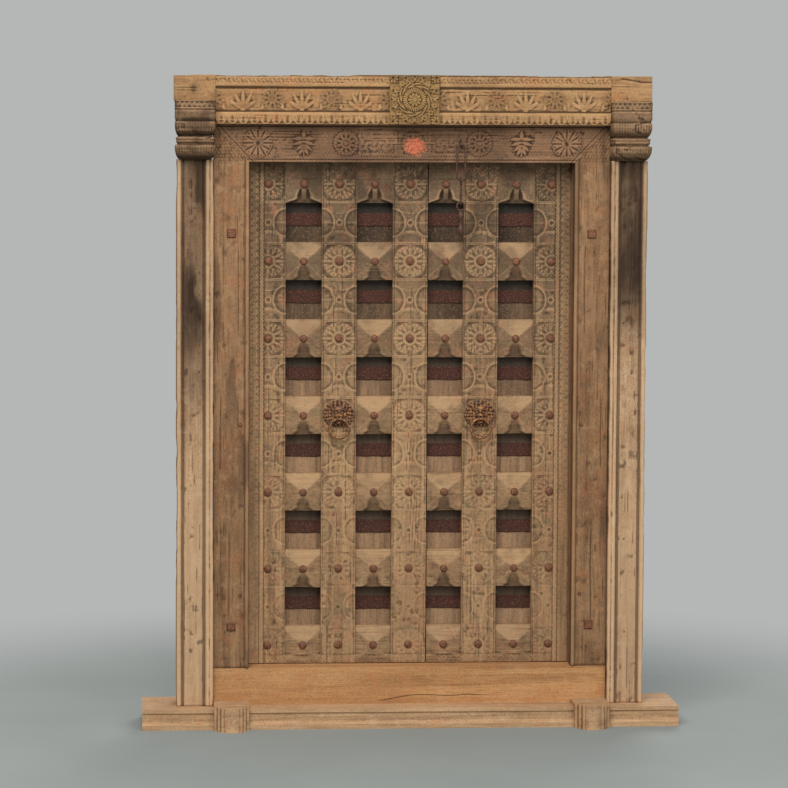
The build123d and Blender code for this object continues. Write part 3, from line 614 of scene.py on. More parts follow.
IRON = metal("nail_iron_rusted", (104, 63, 42), (138, 86, 54), (38, 24, 17),
             metallic=0.2, roughness=0.62, rust_share=0.16, grain=140.0, pits=0.0008)
CHAIN = metal("chain_iron_dark", (68, 43, 33), (100, 60, 42), (38, 25, 19),
              metallic=0.15, roughness=0.6, rust_share=0.14, grain=150.0, pits=0.0007)
BRASS = metal("pull_brass_aged", (164, 114, 66), (98, 64, 44), (40, 27, 22),
              metallic=0.45, roughness=0.5, rust_share=0.2, grain=120.0, pits=0.0006)

slot_material = {
    "lintel_wood": LINTEL, "medallion_wood": MEDALLION, "head_wood": HEAD, "jamb_wood": JAMB,
    "pilaster_wood": PILASTER, "sill_wood": SILL, "threshold_wood": THRESHOLD, "leaf_wood": LEAF,
    "board_wood": BOARD, "strap_iron": STRAP, "rust_iron": IRON, "pull_brass": BRASS,
}
for part in frame["record"]["subparts"]:
    node = frame["nodes"][part["node"]]
    node.data.materials.clear()
    node.data.materials.append(slot_material[part["material_slot"]])


# Stiles: rosettes round the nails, and a panel with rings and mounds between them
def stile_motif(x, z):
    """The panel between two rosettes, about 130 mm tall, centred on zero."""
    side = np.hypot(np.abs(x) - STILE / 2 - 1, 0.9 * z)
    dots = 0.5 + 0.5 * np.cos(TAU * x / 6.5)
    height = np.where(side < 35, -0.6 + 1.0 * dots * ridge(z, 2.2), 0.0)
    height += 1.1 * ridge(side - 39, 1.7)
    r = np.hypot(x, z)
    height = np.where(r < 13, 0.9 * ridge(r - 8.5, 2.0) - 0.9 * ease(6, 4, r), height)
    mound = np.hypot(x / 46, (z + 60) / 34)
    height = np.where(mound < 1, 0.75 - 0.5 * ease(0.8, 0.72, mound), height)
    height += 0.7 * ridge(mound - 1.04, 0.05)
    crown = np.hypot(x / 46, (z - 60) / 30)
    height = np.where(crown < 1, 0.2, height) + 0.6 * ridge(crown - 1.04, 0.05)
    height = np.where(np.abs(z) > 60, 0.1, height)
    return height + 0.9 * (ridge(np.abs(z) - 66, 1.3) + ridge(np.abs(z) - 61.5, 1.3))


def top_band(x, z, height):
    """The vine that runs across the top of the leaf, over the heights below it."""
    height = np.where(z > Z_TOP_BAND, 1.1 * vine(z - Z_TOP_VINE, x, 38, 34) - 0.2, height)
    return height - 1.0 * ridge(z - Z_TOP_BAND, 1.2)


def stile_height(x, z, centre, seed):
    u = x - centre
    height = np.zeros_like(x)
    for zr in RECESSES:
        height = np.where(np.abs(z - zr) < 69, 1.7 * stile_motif(u, z - zr), height)
    for zr in ROWS:
        v = z - zr
        r = np.hypot(u, v)
        inside = r < ROSETTE
        height = np.where(inside, 3.2 * rosette(u, v, ROSETTE) - 1.2, height - 1.2 * ridge(r - 52.5, 1.3))
        square = (np.abs(u) < 52) & (np.abs(v) < 52) & ~inside
        curl = petals(*polar(np.abs(u) - 53, np.abs(v) - 53), 3, 15, 8)
        height = np.where(square, 1.6 * curl - 0.8, height)
    height -= 1.4 * ridge(np.abs(u) - (STILE / 2 - 5), 1.2)
    height = top_band(x, z, height) - 1.0 * ridge(z - Z_TOP_LINE, 1.2)
    height = np.where(z < Z_FOOT_BAND, 2.2 * braid(z - Z_FOOT_BRAID, x, 22, 26) - 0.3, height)
    height -= 1.2 * ridge(z - Z_FOOT_BAND, 1.2)
    crisp = worn_share(z) * (0.75 + 0.5 * clouds(x, z, 60, seed))
    return height * np.clip(crisp, 0.25, 1.1) + age(x, z, seed, 1.6) + rough(x, z, seed + 1)


def lap_blocks(carving, x0, x1):
    """The full-depth lengths of a stile between the rails that pass behind it."""
    half = (ROW - RAIL) / 2
    for zr in RECESSES:
        carving.block((x0, x1), (Y_LAP, Y_LATTICE_BACK - STRAP_THICK), (zr - half, zr + half))


STEP = 2.45
for name, body, centre, seed in (("left_mid_stile", "left_leaf", -2 * COLUMN, 21),
                                 ("centre_post", "left_leaf", 0, 31),
                                 ("right_mid_stile", "right_leaf", 2 * COLUMN, 41)):
    carving = Carving(1.0)
    x0, x1 = centre - STILE / 2, centre + STILE / 2
    x, z = sheet_grid(x0, x1, Z_LEAF, Z_LEAF_TOP, STEP)
    near = np.min([np.hypot(x - centre, z - zr) for zr in ROWS], axis=0)
    disc = ease(52, 49, near) * (z < Z_TOP_BAND)
    pale = 0.34 * disc * (0.3 + 0.7 * ease(700, 1250, z)) * (0.5 + clouds(x, z, 22, seed + 5))
    pale = pale * (1 - 0.75 * ease(1480, 1620, z))
    if name == "centre_post":
        pale = pale + 0.2 * ease(1560, 1300, z)
    soot_and_shade = leaf_soot(x, z, seed + 2) * (1 - 0.6 * disc)
    carving.add(x, z, stile_height(x, z, centre, seed), Y_LEAF, Y_LAP, soot_and_shade=soot_and_shade, pale=pale)
    lap_blocks(carving, x0, x1)
    carving.piece(name + "_carved", LEAF, body, name)

# Hanging stiles: half rosettes, a braid and a vine border by the jamb, and a round heel with its pivots
for side, sign, shift in SIDES:
    carving = Carving(1.0)
    seed = 51 + shift
    x, z = sheet_grid(*sorted((sign * X_HANGING, sign * X_OPENING)), Z_LEAF, Z_LEAF_TOP, STEP)
    out = x * sign
    inner = stile_height(x, z, sign * 4 * COLUMN, seed)
    braided = 3.2 * braid(out - 457, z, 15, 22) - 0.4
    vined = 1.5 * np.maximum(vine(out - 480, z, 31, 22), 0.6 * stipple(x, z, 7.5, seed + 9)) + 0.1
    crisp = np.clip(worn_share(z) * (0.8 + 0.4 * clouds(x, z, 60, seed + 4)), 0.3, 1.1)
    height = np.where(out > X_VINE, vined * crisp, np.where(out > X_BRAID, braided * crisp, inner))
    height -= 1.6 * (ridge(out - X_VINE, 1.1) + ridge(out - X_BRAID, 1.1))
    height = np.where(out > X_EDGE, -0.5, height)
    # The top runs up behind the head, so its carving stays flush there
    height = np.where(z > Z_HEAD - STEP, np.minimum(height, 0.5), height)
    soot_and_shade = 0.6 * leaf_soot(x, z, seed + 2)
    carving.add(x, z, height, Y_LEAF, Y_LAP, soot_and_shade=soot_and_shade, pale=0.12 * (out > X_BRAID))
    lap_blocks(carving, *sorted((sign * X_HANGING, sign * X_SHOULDER)))
    heel = sorted((sign * X_SHOULDER, sign * X_OPENING))
    carving.block(heel, (Y_LAP, Y_LEAF_BACK), (Z_LEAF, Z_LEAF_TOP))
    piece = carving.piece(f"{side}_hanging_stile_carved", LEAF, f"{side}_leaf")
    turns = np.linspace(-math.pi / 2, math.pi / 2, 25)
    profile = [(X_PIVOT + HEEL_RADIUS * math.cos(a), Y_PIVOT + HEEL_RADIUS * math.sin(a)) for a in turns]
    profile = [(sign * px, py) for px, py in [(X_OPENING, Y_LEAF)] + profile + [(X_OPENING, Y_LEAF_BACK)]]
    profile = profile if side == "left" else profile[::-1]
    n = len(profile)
    verts = np.array([(px, py, h) for h in (Z_LEAF, Z_LEAF_TOP) for px, py in profile])
    parts = [(verts, grid_quads(2, n, "c")[:, ::-1], [np.arange(n), n + np.arange(n)[::-1]])]
    for low in (Z_LEAF - PIVOT_LENGTH, Z_LEAF_TOP):
        ends = [(sign * X_PIVOT, Y_PIVOT, low), (sign * X_PIVOT, Y_PIVOT, low + PIVOT_LENGTH)]
        parts.append(tube(ends, PIVOT_RADIUS, 32))
    forged(f"{side}_heel_round", parts, LEAF, f"{side}_leaf", f"{side}_hanging_stile")
    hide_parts(f"{side}_hanging_stile")


# Rails: a carved block in every cell, with a bell niche in its foot
def block_height(u, v, row):
    """Height over a cell's block, and the share of the niche: u from its middle, v from its nail."""
    top_row = row == TOP_ROW
    top, half = RAIL / 2, CELL / 2
    u = np.abs(u)
    rise = v + RAIL / 2
    if top_row:
        height = 1.2 - 2.2 * ease(24, 44, u)
    else:
        height = np.minimum(3.0 - 9.0 * np.clip((u - 9) / (half - 9), 0, 1),
                            3.0 - 15.0 * np.clip((v - 9) / (top - 9), 0, 1))
    height -= 0.7 * ridge(half - u - 4, 1.1) * (v < top - 12)
    flare = 10 + 10 * ease(46, 20, rise) + (28 if top_row else 12) * ease(15, 0, rise) ** 1.5
    soft = 4.5 if top_row else 8.0
    bell = ease(flare + soft, flare - soft, u) * ease(50, 36, rise) * (row > 0)
    scoop = -1.5 - (8.5 if top_row else 5.5) * ease(44, 0, rise) ** 1.2
    strip = ease(8.5, 6.0, u) * ease(2, 14, rise) * top_row
    slots = ease(7.5, 9.5, u) * ease(20, 16, u) * ease(8, 20, rise)
    scoop = np.maximum(scoop + 3.5 * strip - (6.0 if top_row else 0.8) * slots, -17.0)
    return height * (1 - bell) + scoop * bell, bell * ease(52, 26, rise)


for side, sign, shift in SIDES:
    for row, zr in enumerate(ROWS):
        name = f"{side}_rail_{row + 1}"
        lo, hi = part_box(name)
        x_lo, x_hi, z0, z1 = lo.x / MM, hi.x / MM, lo.z / MM, hi.z / MM
        carving = Carving(2.8)
        for k, middle in enumerate((sign * COLUMN, sign * 3 * COLUMN)):
            reach = CELL / 2 + 0.35
            x, z = sheet_grid(max(middle - reach, x_lo), min(middle + reach, x_hi), z0, z1, 2.25)
            seed = 100 + 10 * row + 3 * k + 5 * shift
            height, bell = block_height(x - middle, z - zr, row)
            height = height * (0.7 + 0.3 * worn_share(z))
            if row == TOP_ROW:
                height = top_band(x, z, height)
            if row == 0:
                braided = 2.0 * braid(z - Z_FOOT_BRAID, x, 22, 30) - 0.5
                height = np.where((z < Z_FOOT_BAND) & (height > -12), braided, height)
            height += age(x, z, seed, 1.4, "x") + rough(x, z, seed + 1)
            u, v = np.abs(x - middle), z - zr
            # Painted light on each block: a painted highlight on its top facet and along the ridges from
            # its corners to the nail, and painted shade on its side and lower facets and in the bell niche,
            # over real soot
            patch = clouds(x, z, 45, seed + 4)
            upper = ease(-9, 9, v - 0.9 * u + 14 * (patch - 0.5))
            rays = ridge(np.abs(v) - 0.9 * u, 3.0) * ease(8, 14, u)
            pale = 0.66 * upper * (0.35 + 0.65 * ease(0.3, 0.6, patch)) + 0.35 * rays
            facet_shade = 0.24 * (1 - upper) * ease(8, 16, u) * (0.3 + 0.7 * ease(0.35, 0.65, patch))
            pale, facet_shade = pale * (row < TOP_ROW), facet_shade * (row < TOP_ROW)
            soot_and_shade = np.maximum(leaf_soot(x, z, seed + 6) * (1 - 0.7 * np.clip(pale, 0, 1)), facet_shade)
            soot_and_shade = np.maximum(soot_and_shade, 0.78 * bell * (0.6 + 0.4 * clouds(x, z, 30, seed + 8)))
            x, z = frayed(x, z, 2.5, seed + 31, "b" if row else "t")
            carving.add(x, z, height, Y_LEAF, Y_LAP, soot_and_shade=soot_and_shade, pale=pale)
        carving.block((x_lo, x_hi), (Y_LAP, Y_LATTICE_BACK), (z0, z1))
        carving.piece(name + "_carved", LEAF_ACROSS, f"{side}_leaf", name)

# Head: flowers, palms, rosettes and framed scrolls between the mitres, with the red daub
share, z = np.meshgrid(np.linspace(-1, 1, 580), np.linspace(Z_HEAD, Z_LINTEL, 58))
mitre = X_OPENING + (z - Z_HEAD) * (X_JAMB - X_OPENING) / (Z_LINTEL - Z_HEAD)
x = share * mitre
mid = z - (Z_HEAD + Z_LINTEL) / 2
height = np.zeros_like(x)
for sign in (-1, 1):
    u = x * sign
    height = np.where(np.hypot(u - 472, mid) < 45, 3.4 * ringed_flower(u - 472, mid, 44), height)
    fronds = palm(u - 333, mid, 88)
    height = np.where(fronds > 0.05, 4.0 * fronds, height)
    height = np.where(np.hypot(u - 204, mid) < 38, 3.6 * rosette(u - 204, mid, 37, 20), height)
    edge = np.minimum(58 - np.abs(u - 107), 36 - np.abs(mid))
    scroll = np.where(edge < 5, 0.9, 0.45 * 2.4 * wave_band(u - 107, mid, 52, 38))
    height = np.where(edge > 0, scroll, height)
height = np.where(np.hypot(x, mid) < 34, 3.6 * rosette(x, mid, 33, 14), height)
height -= 1.6 * ridge(np.abs(x) - mitre + 12, 1.6)
height -= 1.6 * (ridge(z - Z_HEAD - 8, 1.5) + ridge(z - Z_LINTEL + 7, 1.5))
height = np.where(np.abs(height) < 0.4, height + 1.0 * stipple(x, z, 8.5, 207), height)
height = 1.3 * height * (0.6 + 0.6 * clouds(x, z, 70, 201)) + age(x, z, 203, 1.6, "x")
blot = np.hypot((x - 8) / 33, (z - 1776) / 29) + 0.5 * (clouds(x, z, 14, 209) - 0.5)
soot_and_shade = 0.35 * ease(0.45, 0.7, clouds(x, z, 120, 205)) * ease(0.7, 1.3, blot)
carving = Carving(1.1)
carving.add(x, z, height, Y_JAMB, Y_FRAME_BACK, soot_and_shade=soot_and_shade, pale=spot(x, z, 233, 1822, 5, 5),
            paint=ease(1.35, 0.55, blot))
carving.piece("head_carved", HEAD, "frame", "head")

# Lintel: a wave band, a frieze of rosettes and palmettes, and a row of scallops between plain ends
carving = Carving(1.25)
for x0, x1, z0 in ((-X_LINTEL_STEP, X_LINTEL_STEP, Z_LINTEL), (-X_LINTEL_END, -X_LINTEL_STEP, Z_LINTEL_END),
                   (X_LINTEL_STEP, X_LINTEL_END, Z_LINTEL_END)):
    x, z = sheet_grid(x0, x1, z0, Z_TOP, 2.15)
    soot_and_shade = 0.55 * spot(x, z, -668, 1945, 17, 22) + 0.2 * ease(0.55, 0.75, clouds(x, z, 60, 305))
    if z0 == Z_LINTEL:
        height = np.where(z > Z_TOP - 35, 8.0, np.where(z < Z_LINTEL + 36, 5.0, 0.0))
        height += 1.7 * wave_band(x, z - Z_WAVES, 30, 25) * (np.abs(z - Z_WAVES) < 15)
        frieze = z - Z_FRIEZE
        for k in range(4):
            for sign in (-1, 1):
                u = x - sign * (FRIEZE_ROSETTE + FRIEZE_PITCH * k)
                r = np.hypot(u, frieze)
                height = np.where(r < 33, 3.0 * rosette(u, frieze, 33, 18) - 0.4, height)
                for way in (-1, 1):
                    blade = leaf_shape(u - way * 34, frieze + 32, 58, 15, -0.5 * way)
                    height = np.maximum(height, 2.4 * blade * (r > 34))
                u = x - sign * (FRIEZE_PALM + FRIEZE_PITCH * k)
                near = (np.abs(u) < 36) & (np.abs(frieze) < 36) & (r > 33)
                height = np.where(near, 2.2 * palmette(u, frieze + 3, 62), height)
                soot_and_shade = np.maximum(soot_and_shade, 0.28 * ease(34, 31, r))
        band = 3.4 + 1.6 * scallops(x, z - Z_SCALLOPS, 33.4, 33)
        height = np.where(np.abs(z - Z_SCALLOPS) < 17, band, height)
    else:
        height = np.full_like(x, 5.5)
        if x0 > 0:
            crack = z - (Z_TOP - 16 + 7 * np.abs(((x - 640) / 60) % 2 - 1) - 0.06 * (x - 640))
            height -= (3.0 * ridge(crack, 1.8) + 1.6 * (crack > 0)) * ease(622, 640, x)
        else:
            height -= 2.4 * spot(x, z, -668, 1945, 13, 17)
    lines = ridge(z - Z_TOP + 36, 1.4) + ridge(z - Z_LINTEL - 37, 1.4) + ridge(z - Z_TOP + 3, 1.2)
    height -= 1.8 * lines * (np.abs(x) < 600)
    height += age(x, z, 301, 1.5, "x") + rough(x, z, 303)
    x, z = frayed(x, z, 5.0, 321, "t")
    carving.add(x, z, height, Y_LINTEL, Y_FRAME_BACK, soot_and_shade=np.clip(soot_and_shade, 0, 0.8))
carving.piece("lintel_carved", LINTEL, "frame", "lintel")

# Medallion on the lintel
carving = Carving()
x, z = sheet_grid(-MEDALLION_HALF, MEDALLION_HALF, Z_LINTEL, Z_TOP, 1.3)
mid = z - (Z_LINTEL + Z_TOP) / 2
r, turn = polar(x, mid)
height = np.maximum(3.4 * petals(r, turn, 6, 20, 10), 3.4 * (r < 6))
height = np.maximum(height, 3.6 * petals(r, turn, 22, 36, 32))
scrolls = 0.5 + 0.5 * np.cos(10 * turn + 3 * np.sin((r - 36) / 3.2))
height = np.maximum(height, 3.4 * scrolls * ((r > 38) & (r < 52)))
height = np.maximum(height, 4.6 * hollow(petals(r, turn, 52, 72, 16)))
curl = petals(*polar(np.abs(x) - 66, np.abs(mid) - 66), 3, 16, 8)
height = np.maximum(height, 3.6 * curl * (r > 71))
height -= 1.5 * (ridge(r - 37, 0.9) + ridge(r - 52.5, 0.9) + ridge(r - 71, 1.0))
carving.add(x, z, height + age(x, z, 401, 1.0, "x"), Y_MEDALLION, Y_LINTEL)
carving.piece("lintel_medallion_carved", MEDALLION, "frame", "lintel_medallion")

# Pilasters: beads on both edges of a sunk field, sooty above
for side, sign, shift in SIDES:
    carving = Carving()
    seed = 501 + shift
    x0, x1 = sorted((sign * X_JAMB, sign * X_PILASTER))
    x, z = np.meshgrid(np.linspace(x0, x1, 50), np.linspace(Z_PILASTER, Z_CAPITAL, 250))
    out = x * sign
    height = np.full_like(x, -9.0)
    for centre, radius in ((X_PILASTER - 7.5, 7.5), (X_JAMB + 6.5, 6.5), (X_JAMB + 18.5, 6.5)):
        bead = np.sqrt(np.clip(radius**2 - (out - centre) ** 2, 0, None))
        height = np.maximum(height, np.where(bead > 0, -radius + bead, -9.0))
    height -= 1.4 * (ridge(out - X_JAMB - 27, 1.3) + ridge(out - X_PILASTER + 18, 1.3))
    height += age(x, z, seed, 2.0)
    patch = clouds(x, z * 0.35, 52, seed + 2, 5)
    field = ease(X_JAMB + 22, X_JAMB + 32, out) * ease(X_PILASTER - 10, X_PILASTER - 22, out)
    if side == "left":
        zone = 0.08 + 0.92 * ease(780, 1300, z)
        soot_and_shade = zone * (0.3 + 0.7 * field) * (0.66 + 0.34 * ease(0.3, 0.6, patch))
    else:
        zone = 0.1 + 0.9 * ease(1080, 1380, z)
        soot_and_shade = zone * (0.36 + 0.64 * field) * (0.78 + 0.22 * ease(0.25, 0.55, patch))
    pale = 0.8 * ease(1050, 450, z) * (0.4 + 0.6 * patch)
    x, z = frayed(x, z, 3.0, seed + 21, "lr")
    carving.add(x, z, height, Y_PILASTER, Y_FRAME_BACK, soot_and_shade=0.97 * soot_and_shade, pale=pale, reach=5)
    carving.piece(f"pilaster_{side}_beaded", PILASTER, "frame", f"pilaster_{side}")

# Straps: pitted plates with ragged edges behind the stiles
for side, _, shift in SIDES:
    lo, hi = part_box(f"{side}_straps")
    carving = Carving()
    for k, zr in enumerate(RECESSES):
        middle = zr + STRAP_LIFT
        seed = 601 + k + 2 * shift
        x, z = sheet_grid(lo.x / MM, hi.x / MM, middle - STRAP_HALF, middle + STRAP_HALF, 3.0)
        height = -0.6 * ease(0.48, 0.66, clouds(x, z, 7, seed))
        ragged = (clouds(x, z * 0, 18, seed + 3) - 0.5) * 5
        z = z + ragged * np.clip((z - middle) / STRAP_HALF, -1, 1) * 0.6
        carving.add(x, z, height, Y_LATTICE_BACK - STRAP_THICK, Y_LATTICE_BACK)
    carving.piece(f"{side}_straps_pitted", STRAP, f"{side}_leaf", f"{side}_straps")


# Nails: one hammered head, set at every place by geometry nodes
def nail_head(name, radius, tall, facets, rings, seed):
    rng = np.random.default_rng(seed)
    verts = []
    for j in range(rings + 1):
        t = j / rings * math.pi / 2
        for a in TAU * np.arange(facets) / facets:
            dent = 1 + 0.07 * (rng.random() - 0.5) * (1 if 0 < j < rings else 0.3)
            r = radius * math.cos(0.97 * t) * dent
            h = tall * math.sin(t) ** 0.85 * (1 + 0.1 * (rng.random() - 0.5) * (j > 0))
            verts.append((r * math.cos(a), -h, r * math.sin(a)))
    ring = np.arange(facets)
    return mesh_of(name, verts, grid_quads(rings + 1, facets, "c"), [ring[::-1], rings * facets + ring])


def scatter_tree(name, material):
    """Set a copy of the head on every point, each turned and sized a little differently."""
    tree = bpy.data.node_groups.new(name, "GeometryNodeTree")
    for socket, way, kind in (("Points", "INPUT", "Geometry"), ("Head", "INPUT", "Object"),
                              ("Spread", "INPUT", "Float"), ("Geometry", "OUTPUT", "Geometry")):
        tree.interface.new_socket(socket, in_out=way, socket_type="NodeSocket" + kind)
    nodes = Nodes(tree)
    enter = tree.nodes.new("NodeGroupInput").outputs
    head = nodes.add("GeometryNodeObjectInfo", output="Geometry", Object=enter["Head"])
    turn = nodes.add("FunctionNodeRandomValue", {"data_type": "FLOAT"}, 1, Max=TAU, Seed=4)
    size = nodes.add("FunctionNodeRandomValue", {"data_type": "FLOAT"}, 1, Seed=9, i3=1.0,
                     i2=nodes.math("SUBTRACT", 1.0, enter["Spread"]))
    put = nodes.add("GeometryNodeInstanceOnPoints", Points=enter["Points"], Instance=head, Scale=size,
                    Rotation=nodes.add("ShaderNodeCombineXYZ", Y=turn))
    real = nodes.add("GeometryNodeRealizeInstances", Geometry=put)
    coat = nodes.add("GeometryNodeSetMaterial", Geometry=real, Material=material)
    nodes.add("NodeGroupOutput", i0=coat)
    return tree


def scattered(name, places, head_mesh, material, spread, body, *nodes):
    head = linked(name + "_head", head_mesh)
    points = bpy.data.meshes.new(name + "_points")
    points.from_pydata([Vector(p) * MM for p in places], [], [])
    holder = linked(name + "_holder", points)
    tree = scatter_tree(name + "_nodes", material)
    modifier = holder.modifiers.new("heads", "NODES")
    modifier.node_group = tree
    ids = {s.name: s.identifier for s in tree.interface.items_tree if s.in_out == "INPUT"}
    modifier[ids["Head"]] = head
    modifier[ids["Spread"]] = spread
    bpy.context.view_layer.update()
    made = bpy.data.meshes.new_from_object(holder.evaluated_get(bpy.context.evaluated_depsgraph_get()))
    holder.modifiers.remove(modifier)
    for old in (holder, head):
        bpy.data.objects.remove(old)
    made.name = name
    new_object(name, made, material, body, *nodes)


nail_mesh = nail_head("nail_head", 12.5, 7.0, 14, 6, 71)
for side, columns in (("left", range(-4, 1)), ("right", range(1, 5))):
    places = []
    for c in columns:
        for k, zr in enumerate(ROWS):
            # The masks sit where these nails would be
            if abs(c) == 2 and k == 3:
                continue
            places.append((c * COLUMN, Y_LEAF - 2.6 if c % 2 else Y_LEAF, zr))
    scattered(f"{side}_nails_hammered", places, nail_mesh, IRON, 0.06, f"{side}_leaf", f"{side}_nails")

# Jambs: a bead by the opening, old splits, and a stippled fill above the mitre's foot
for side, sign, shift in SIDES:
    carving = Carving()
    seed = 701 + shift
    rows = np.concatenate([np.linspace(0, 0.93, 150), np.linspace(0.93, 1, 52)[1:]])
    share, rows = np.meshgrid(np.linspace(0, 1, 46), rows)
    share = share if side == "right" else 1 - share
    out = X_OPENING + share * (X_JAMB - X_OPENING)
    top = Z_HEAD + share * (Z_LINTEL - Z_HEAD)
    x, z = sign * out, Z_SILL + rows * (top - Z_SILL)
    bead = np.sqrt(np.clip(1 - ((out - X_OPENING - 5.5) / 5.5) ** 2, 0, 1))
    height = np.where(out < X_OPENING + 11, 3.0 * bead, 0.0) - 1.2 * ridge(out - X_OPENING - 12.5, 1.1)
    field, above = out > X_OPENING + 12, z > Z_JAMB_FILL
    height = np.where(above & field, 2.6 * stipple(x, z, 10.0, seed + 7) - 1.0, height)
    height -= 1.4 * ridge(z - Z_JAMB_FILL + 2, 1.3) * field + 1.5 * ridge(top - z - 9, 1.3) * above
    height += age(x, z, seed, 1.7)
    for place, start, end, deep in ((558, 300, 620, 3.0), (531, 1180, 1500, 2.4), (585, 760, 1040, 2.2)):
        wander = 3 * (clouds(z, z * 0, 90, seed + place) - 0.5)
        length = ease(start, start + 60, z) * ease(end, end - 60, z)
        height -= deep * ridge(out - place - wander, 1.6) * length
    soot_and_shade = np.maximum(0.45 * ease(0.55, 0.75, clouds(x, z * 0.25, 50, seed + 2)), 0.16 * above)
    pale = 0.5 * ease(0.5, 0.7, clouds(x, z * 0.3, 70, seed + 3)) * ease(900, 1500, z) * (z < 1725)
    carving.add(x, z, height, Y_JAMB, Y_FRAME_BACK, soot_and_shade=soot_and_shade, pale=pale)
    carving.piece(f"jamb_{side}_carved", JAMB, "frame", f"jamb_{side}")

# Capitals: fluted cushions with rolls between them under a fretted block
# Each row: height, share of the half width, reach in front of the jambs
CAPITAL_PROFILE = np.array((
    (0, 0.80, 34), (4, 0.86, 46), (12, 0.93, 62), (24, 0.98, 74), (36, 1.0, 79), (43, 0.99, 78),
    (45, 0.88, 62), (48, 0.86, 60), (51, 0.92, 68), (56, 0.93, 70), (59, 0.9, 66), (62, 0.95, 71),
    (66, 0.95, 71), (69, 0.86, 58), (71, 0.84, 54), (76, 0.9, 64), (86, 0.96, 75), (100, 1.0, 80),
    (112, 0.99, 79), (116, 0.96, 74), (119, 0.97, 76), (130, 1.0, 81), (144, 1.0, 82), (150, 0.98, 79),
    (152, 1.0, 82), (CAPITAL_TALL, 1.0, 82),
)).T
for side, sign, shift in SIDES:
    seed = 801 + shift
    levels, around = np.linspace(0, CAPITAL_TALL, 96), np.linspace(0, 1, 150)
    half = CAPITAL_HALF * np.interp(levels, CAPITAL_PROFILE[0], CAPITAL_PROFILE[1])[:, None]
    reach = np.interp(levels, CAPITAL_PROFILE[0], CAPITAL_PROFILE[2])[:, None]
    level, turn = np.meshgrid(levels, around, indexing="ij")
    face = Y_JAMB - reach
    depth = Y_FRAME_BACK - face
    run = around[None, :] * (2 * half + 2 * depth)
    on_left, on_front = run < depth, run < depth + 2 * half
    px = np.where(on_left, -half, np.where(on_front, run - depth - half, half))
    py = np.where(on_left, Y_FRAME_BACK - run, np.where(on_front, face, face + run - depth - 2 * half))
    cx = np.clip(np.abs(px) - half + CAPITAL_CORNER, 0, None)
    cy = np.clip(face + CAPITAL_CORNER - py, 0, None)
    cut = (cx > 0) & (cy > 0)
    pull = np.minimum(CAPITAL_CORNER / np.maximum(np.hypot(cx, cy), 1e-6), 1)
    px = np.where(cut, np.sign(px) * (half - CAPITAL_CORNER + cx * pull), px)
    py = np.where(cut, face + CAPITAL_CORNER - cy * pull, py)
    fluted = ((level > 3) & (level < 43)) | ((level > 72) & (level < 115))
    flute = np.abs(np.sin(math.pi * turn * 50))
    carve = np.where(fluted, -2.4 * (1 - flute) ** 1.5, 0.0)
    zigzag = np.abs(((run / 15.0) % 1) - 0.5) * 2 * 16 + 158
    fret = -1.2 + 1.2 * ridge(level - zigzag, 2.2) + 0.6 * ridge(level - 166, 1.5)
    carve = np.where((level > 156) & (level < 176), fret, carve)
    for line, width in ((44.5, 1.6), (70, 1.6), (116, 1.6), (151, 1.2)):
        carve -= 1.6 * ridge(level - line, width)
    carve += 1.2 * (clouds(run, level, 16, seed) - 0.5)
    carve -= 2.2 * ease(0.66, 0.8, clouds(run, level, 34, seed + 5))
    front, flat = py < Y_JAMB, np.abs(px) < half - 1
    py = np.where(front & flat, py - carve, py)
    px = np.where(front & ~flat, px + np.sign(px) * np.minimum(carve, 0), px)
    centre = sign * (X_JAMB + X_PILASTER) / 2
    verts = np.stack([centre + px, py, Z_CAPITAL + level], -1).reshape(-1, 3)
    rows, cols = px.shape
    caps = [np.arange(cols)[::-1], (rows - 1) * cols + np.arange(cols)]
    # Painted shade under each cushion and roll, with soot in patches; the left capital is sootier
    underside_shade = ease(26, 4, level) * (level < 44)
    for low, high, start, share in ((70, 115, (98, 76), 1.0), (115, 130, (130, 116), 0.9)):
        underside_shade = np.maximum(underside_shade, share * ease(*start, level) * ((level > low) & (level < high)))
    soot_and_shade = np.clip(0.75 * underside_shade + 0.55 * ease(0.5, 0.75, clouds(run, level, 40, seed + 9)), 0, 0.9)
    soot_and_shade = soot_and_shade * (1.0 if side == "left" else 0.6)
    fields = {"cavity": hollows(carve, 3, 0.9).ravel(), "soot_and_shade": soot_and_shade.ravel(), "pale": np.zeros(rows * cols)}
    name = f"capital_{side}_fluted"
    mesh = mesh_of(name, verts, grid_quads(rows, cols, "c"), caps, fields=fields)
    new_object(name, mesh, CAPITAL, "frame", f"capital_{side}")


# Lion masks: curled mane, brow, eyes, nose and the jaws that hold the ring
def dome(x, z, cx, cz, rx, rz):
    return np.sqrt(np.clip(1 - ((x - cx) / rx) ** 2 - ((z - cz) / rz) ** 2, 0, 1))


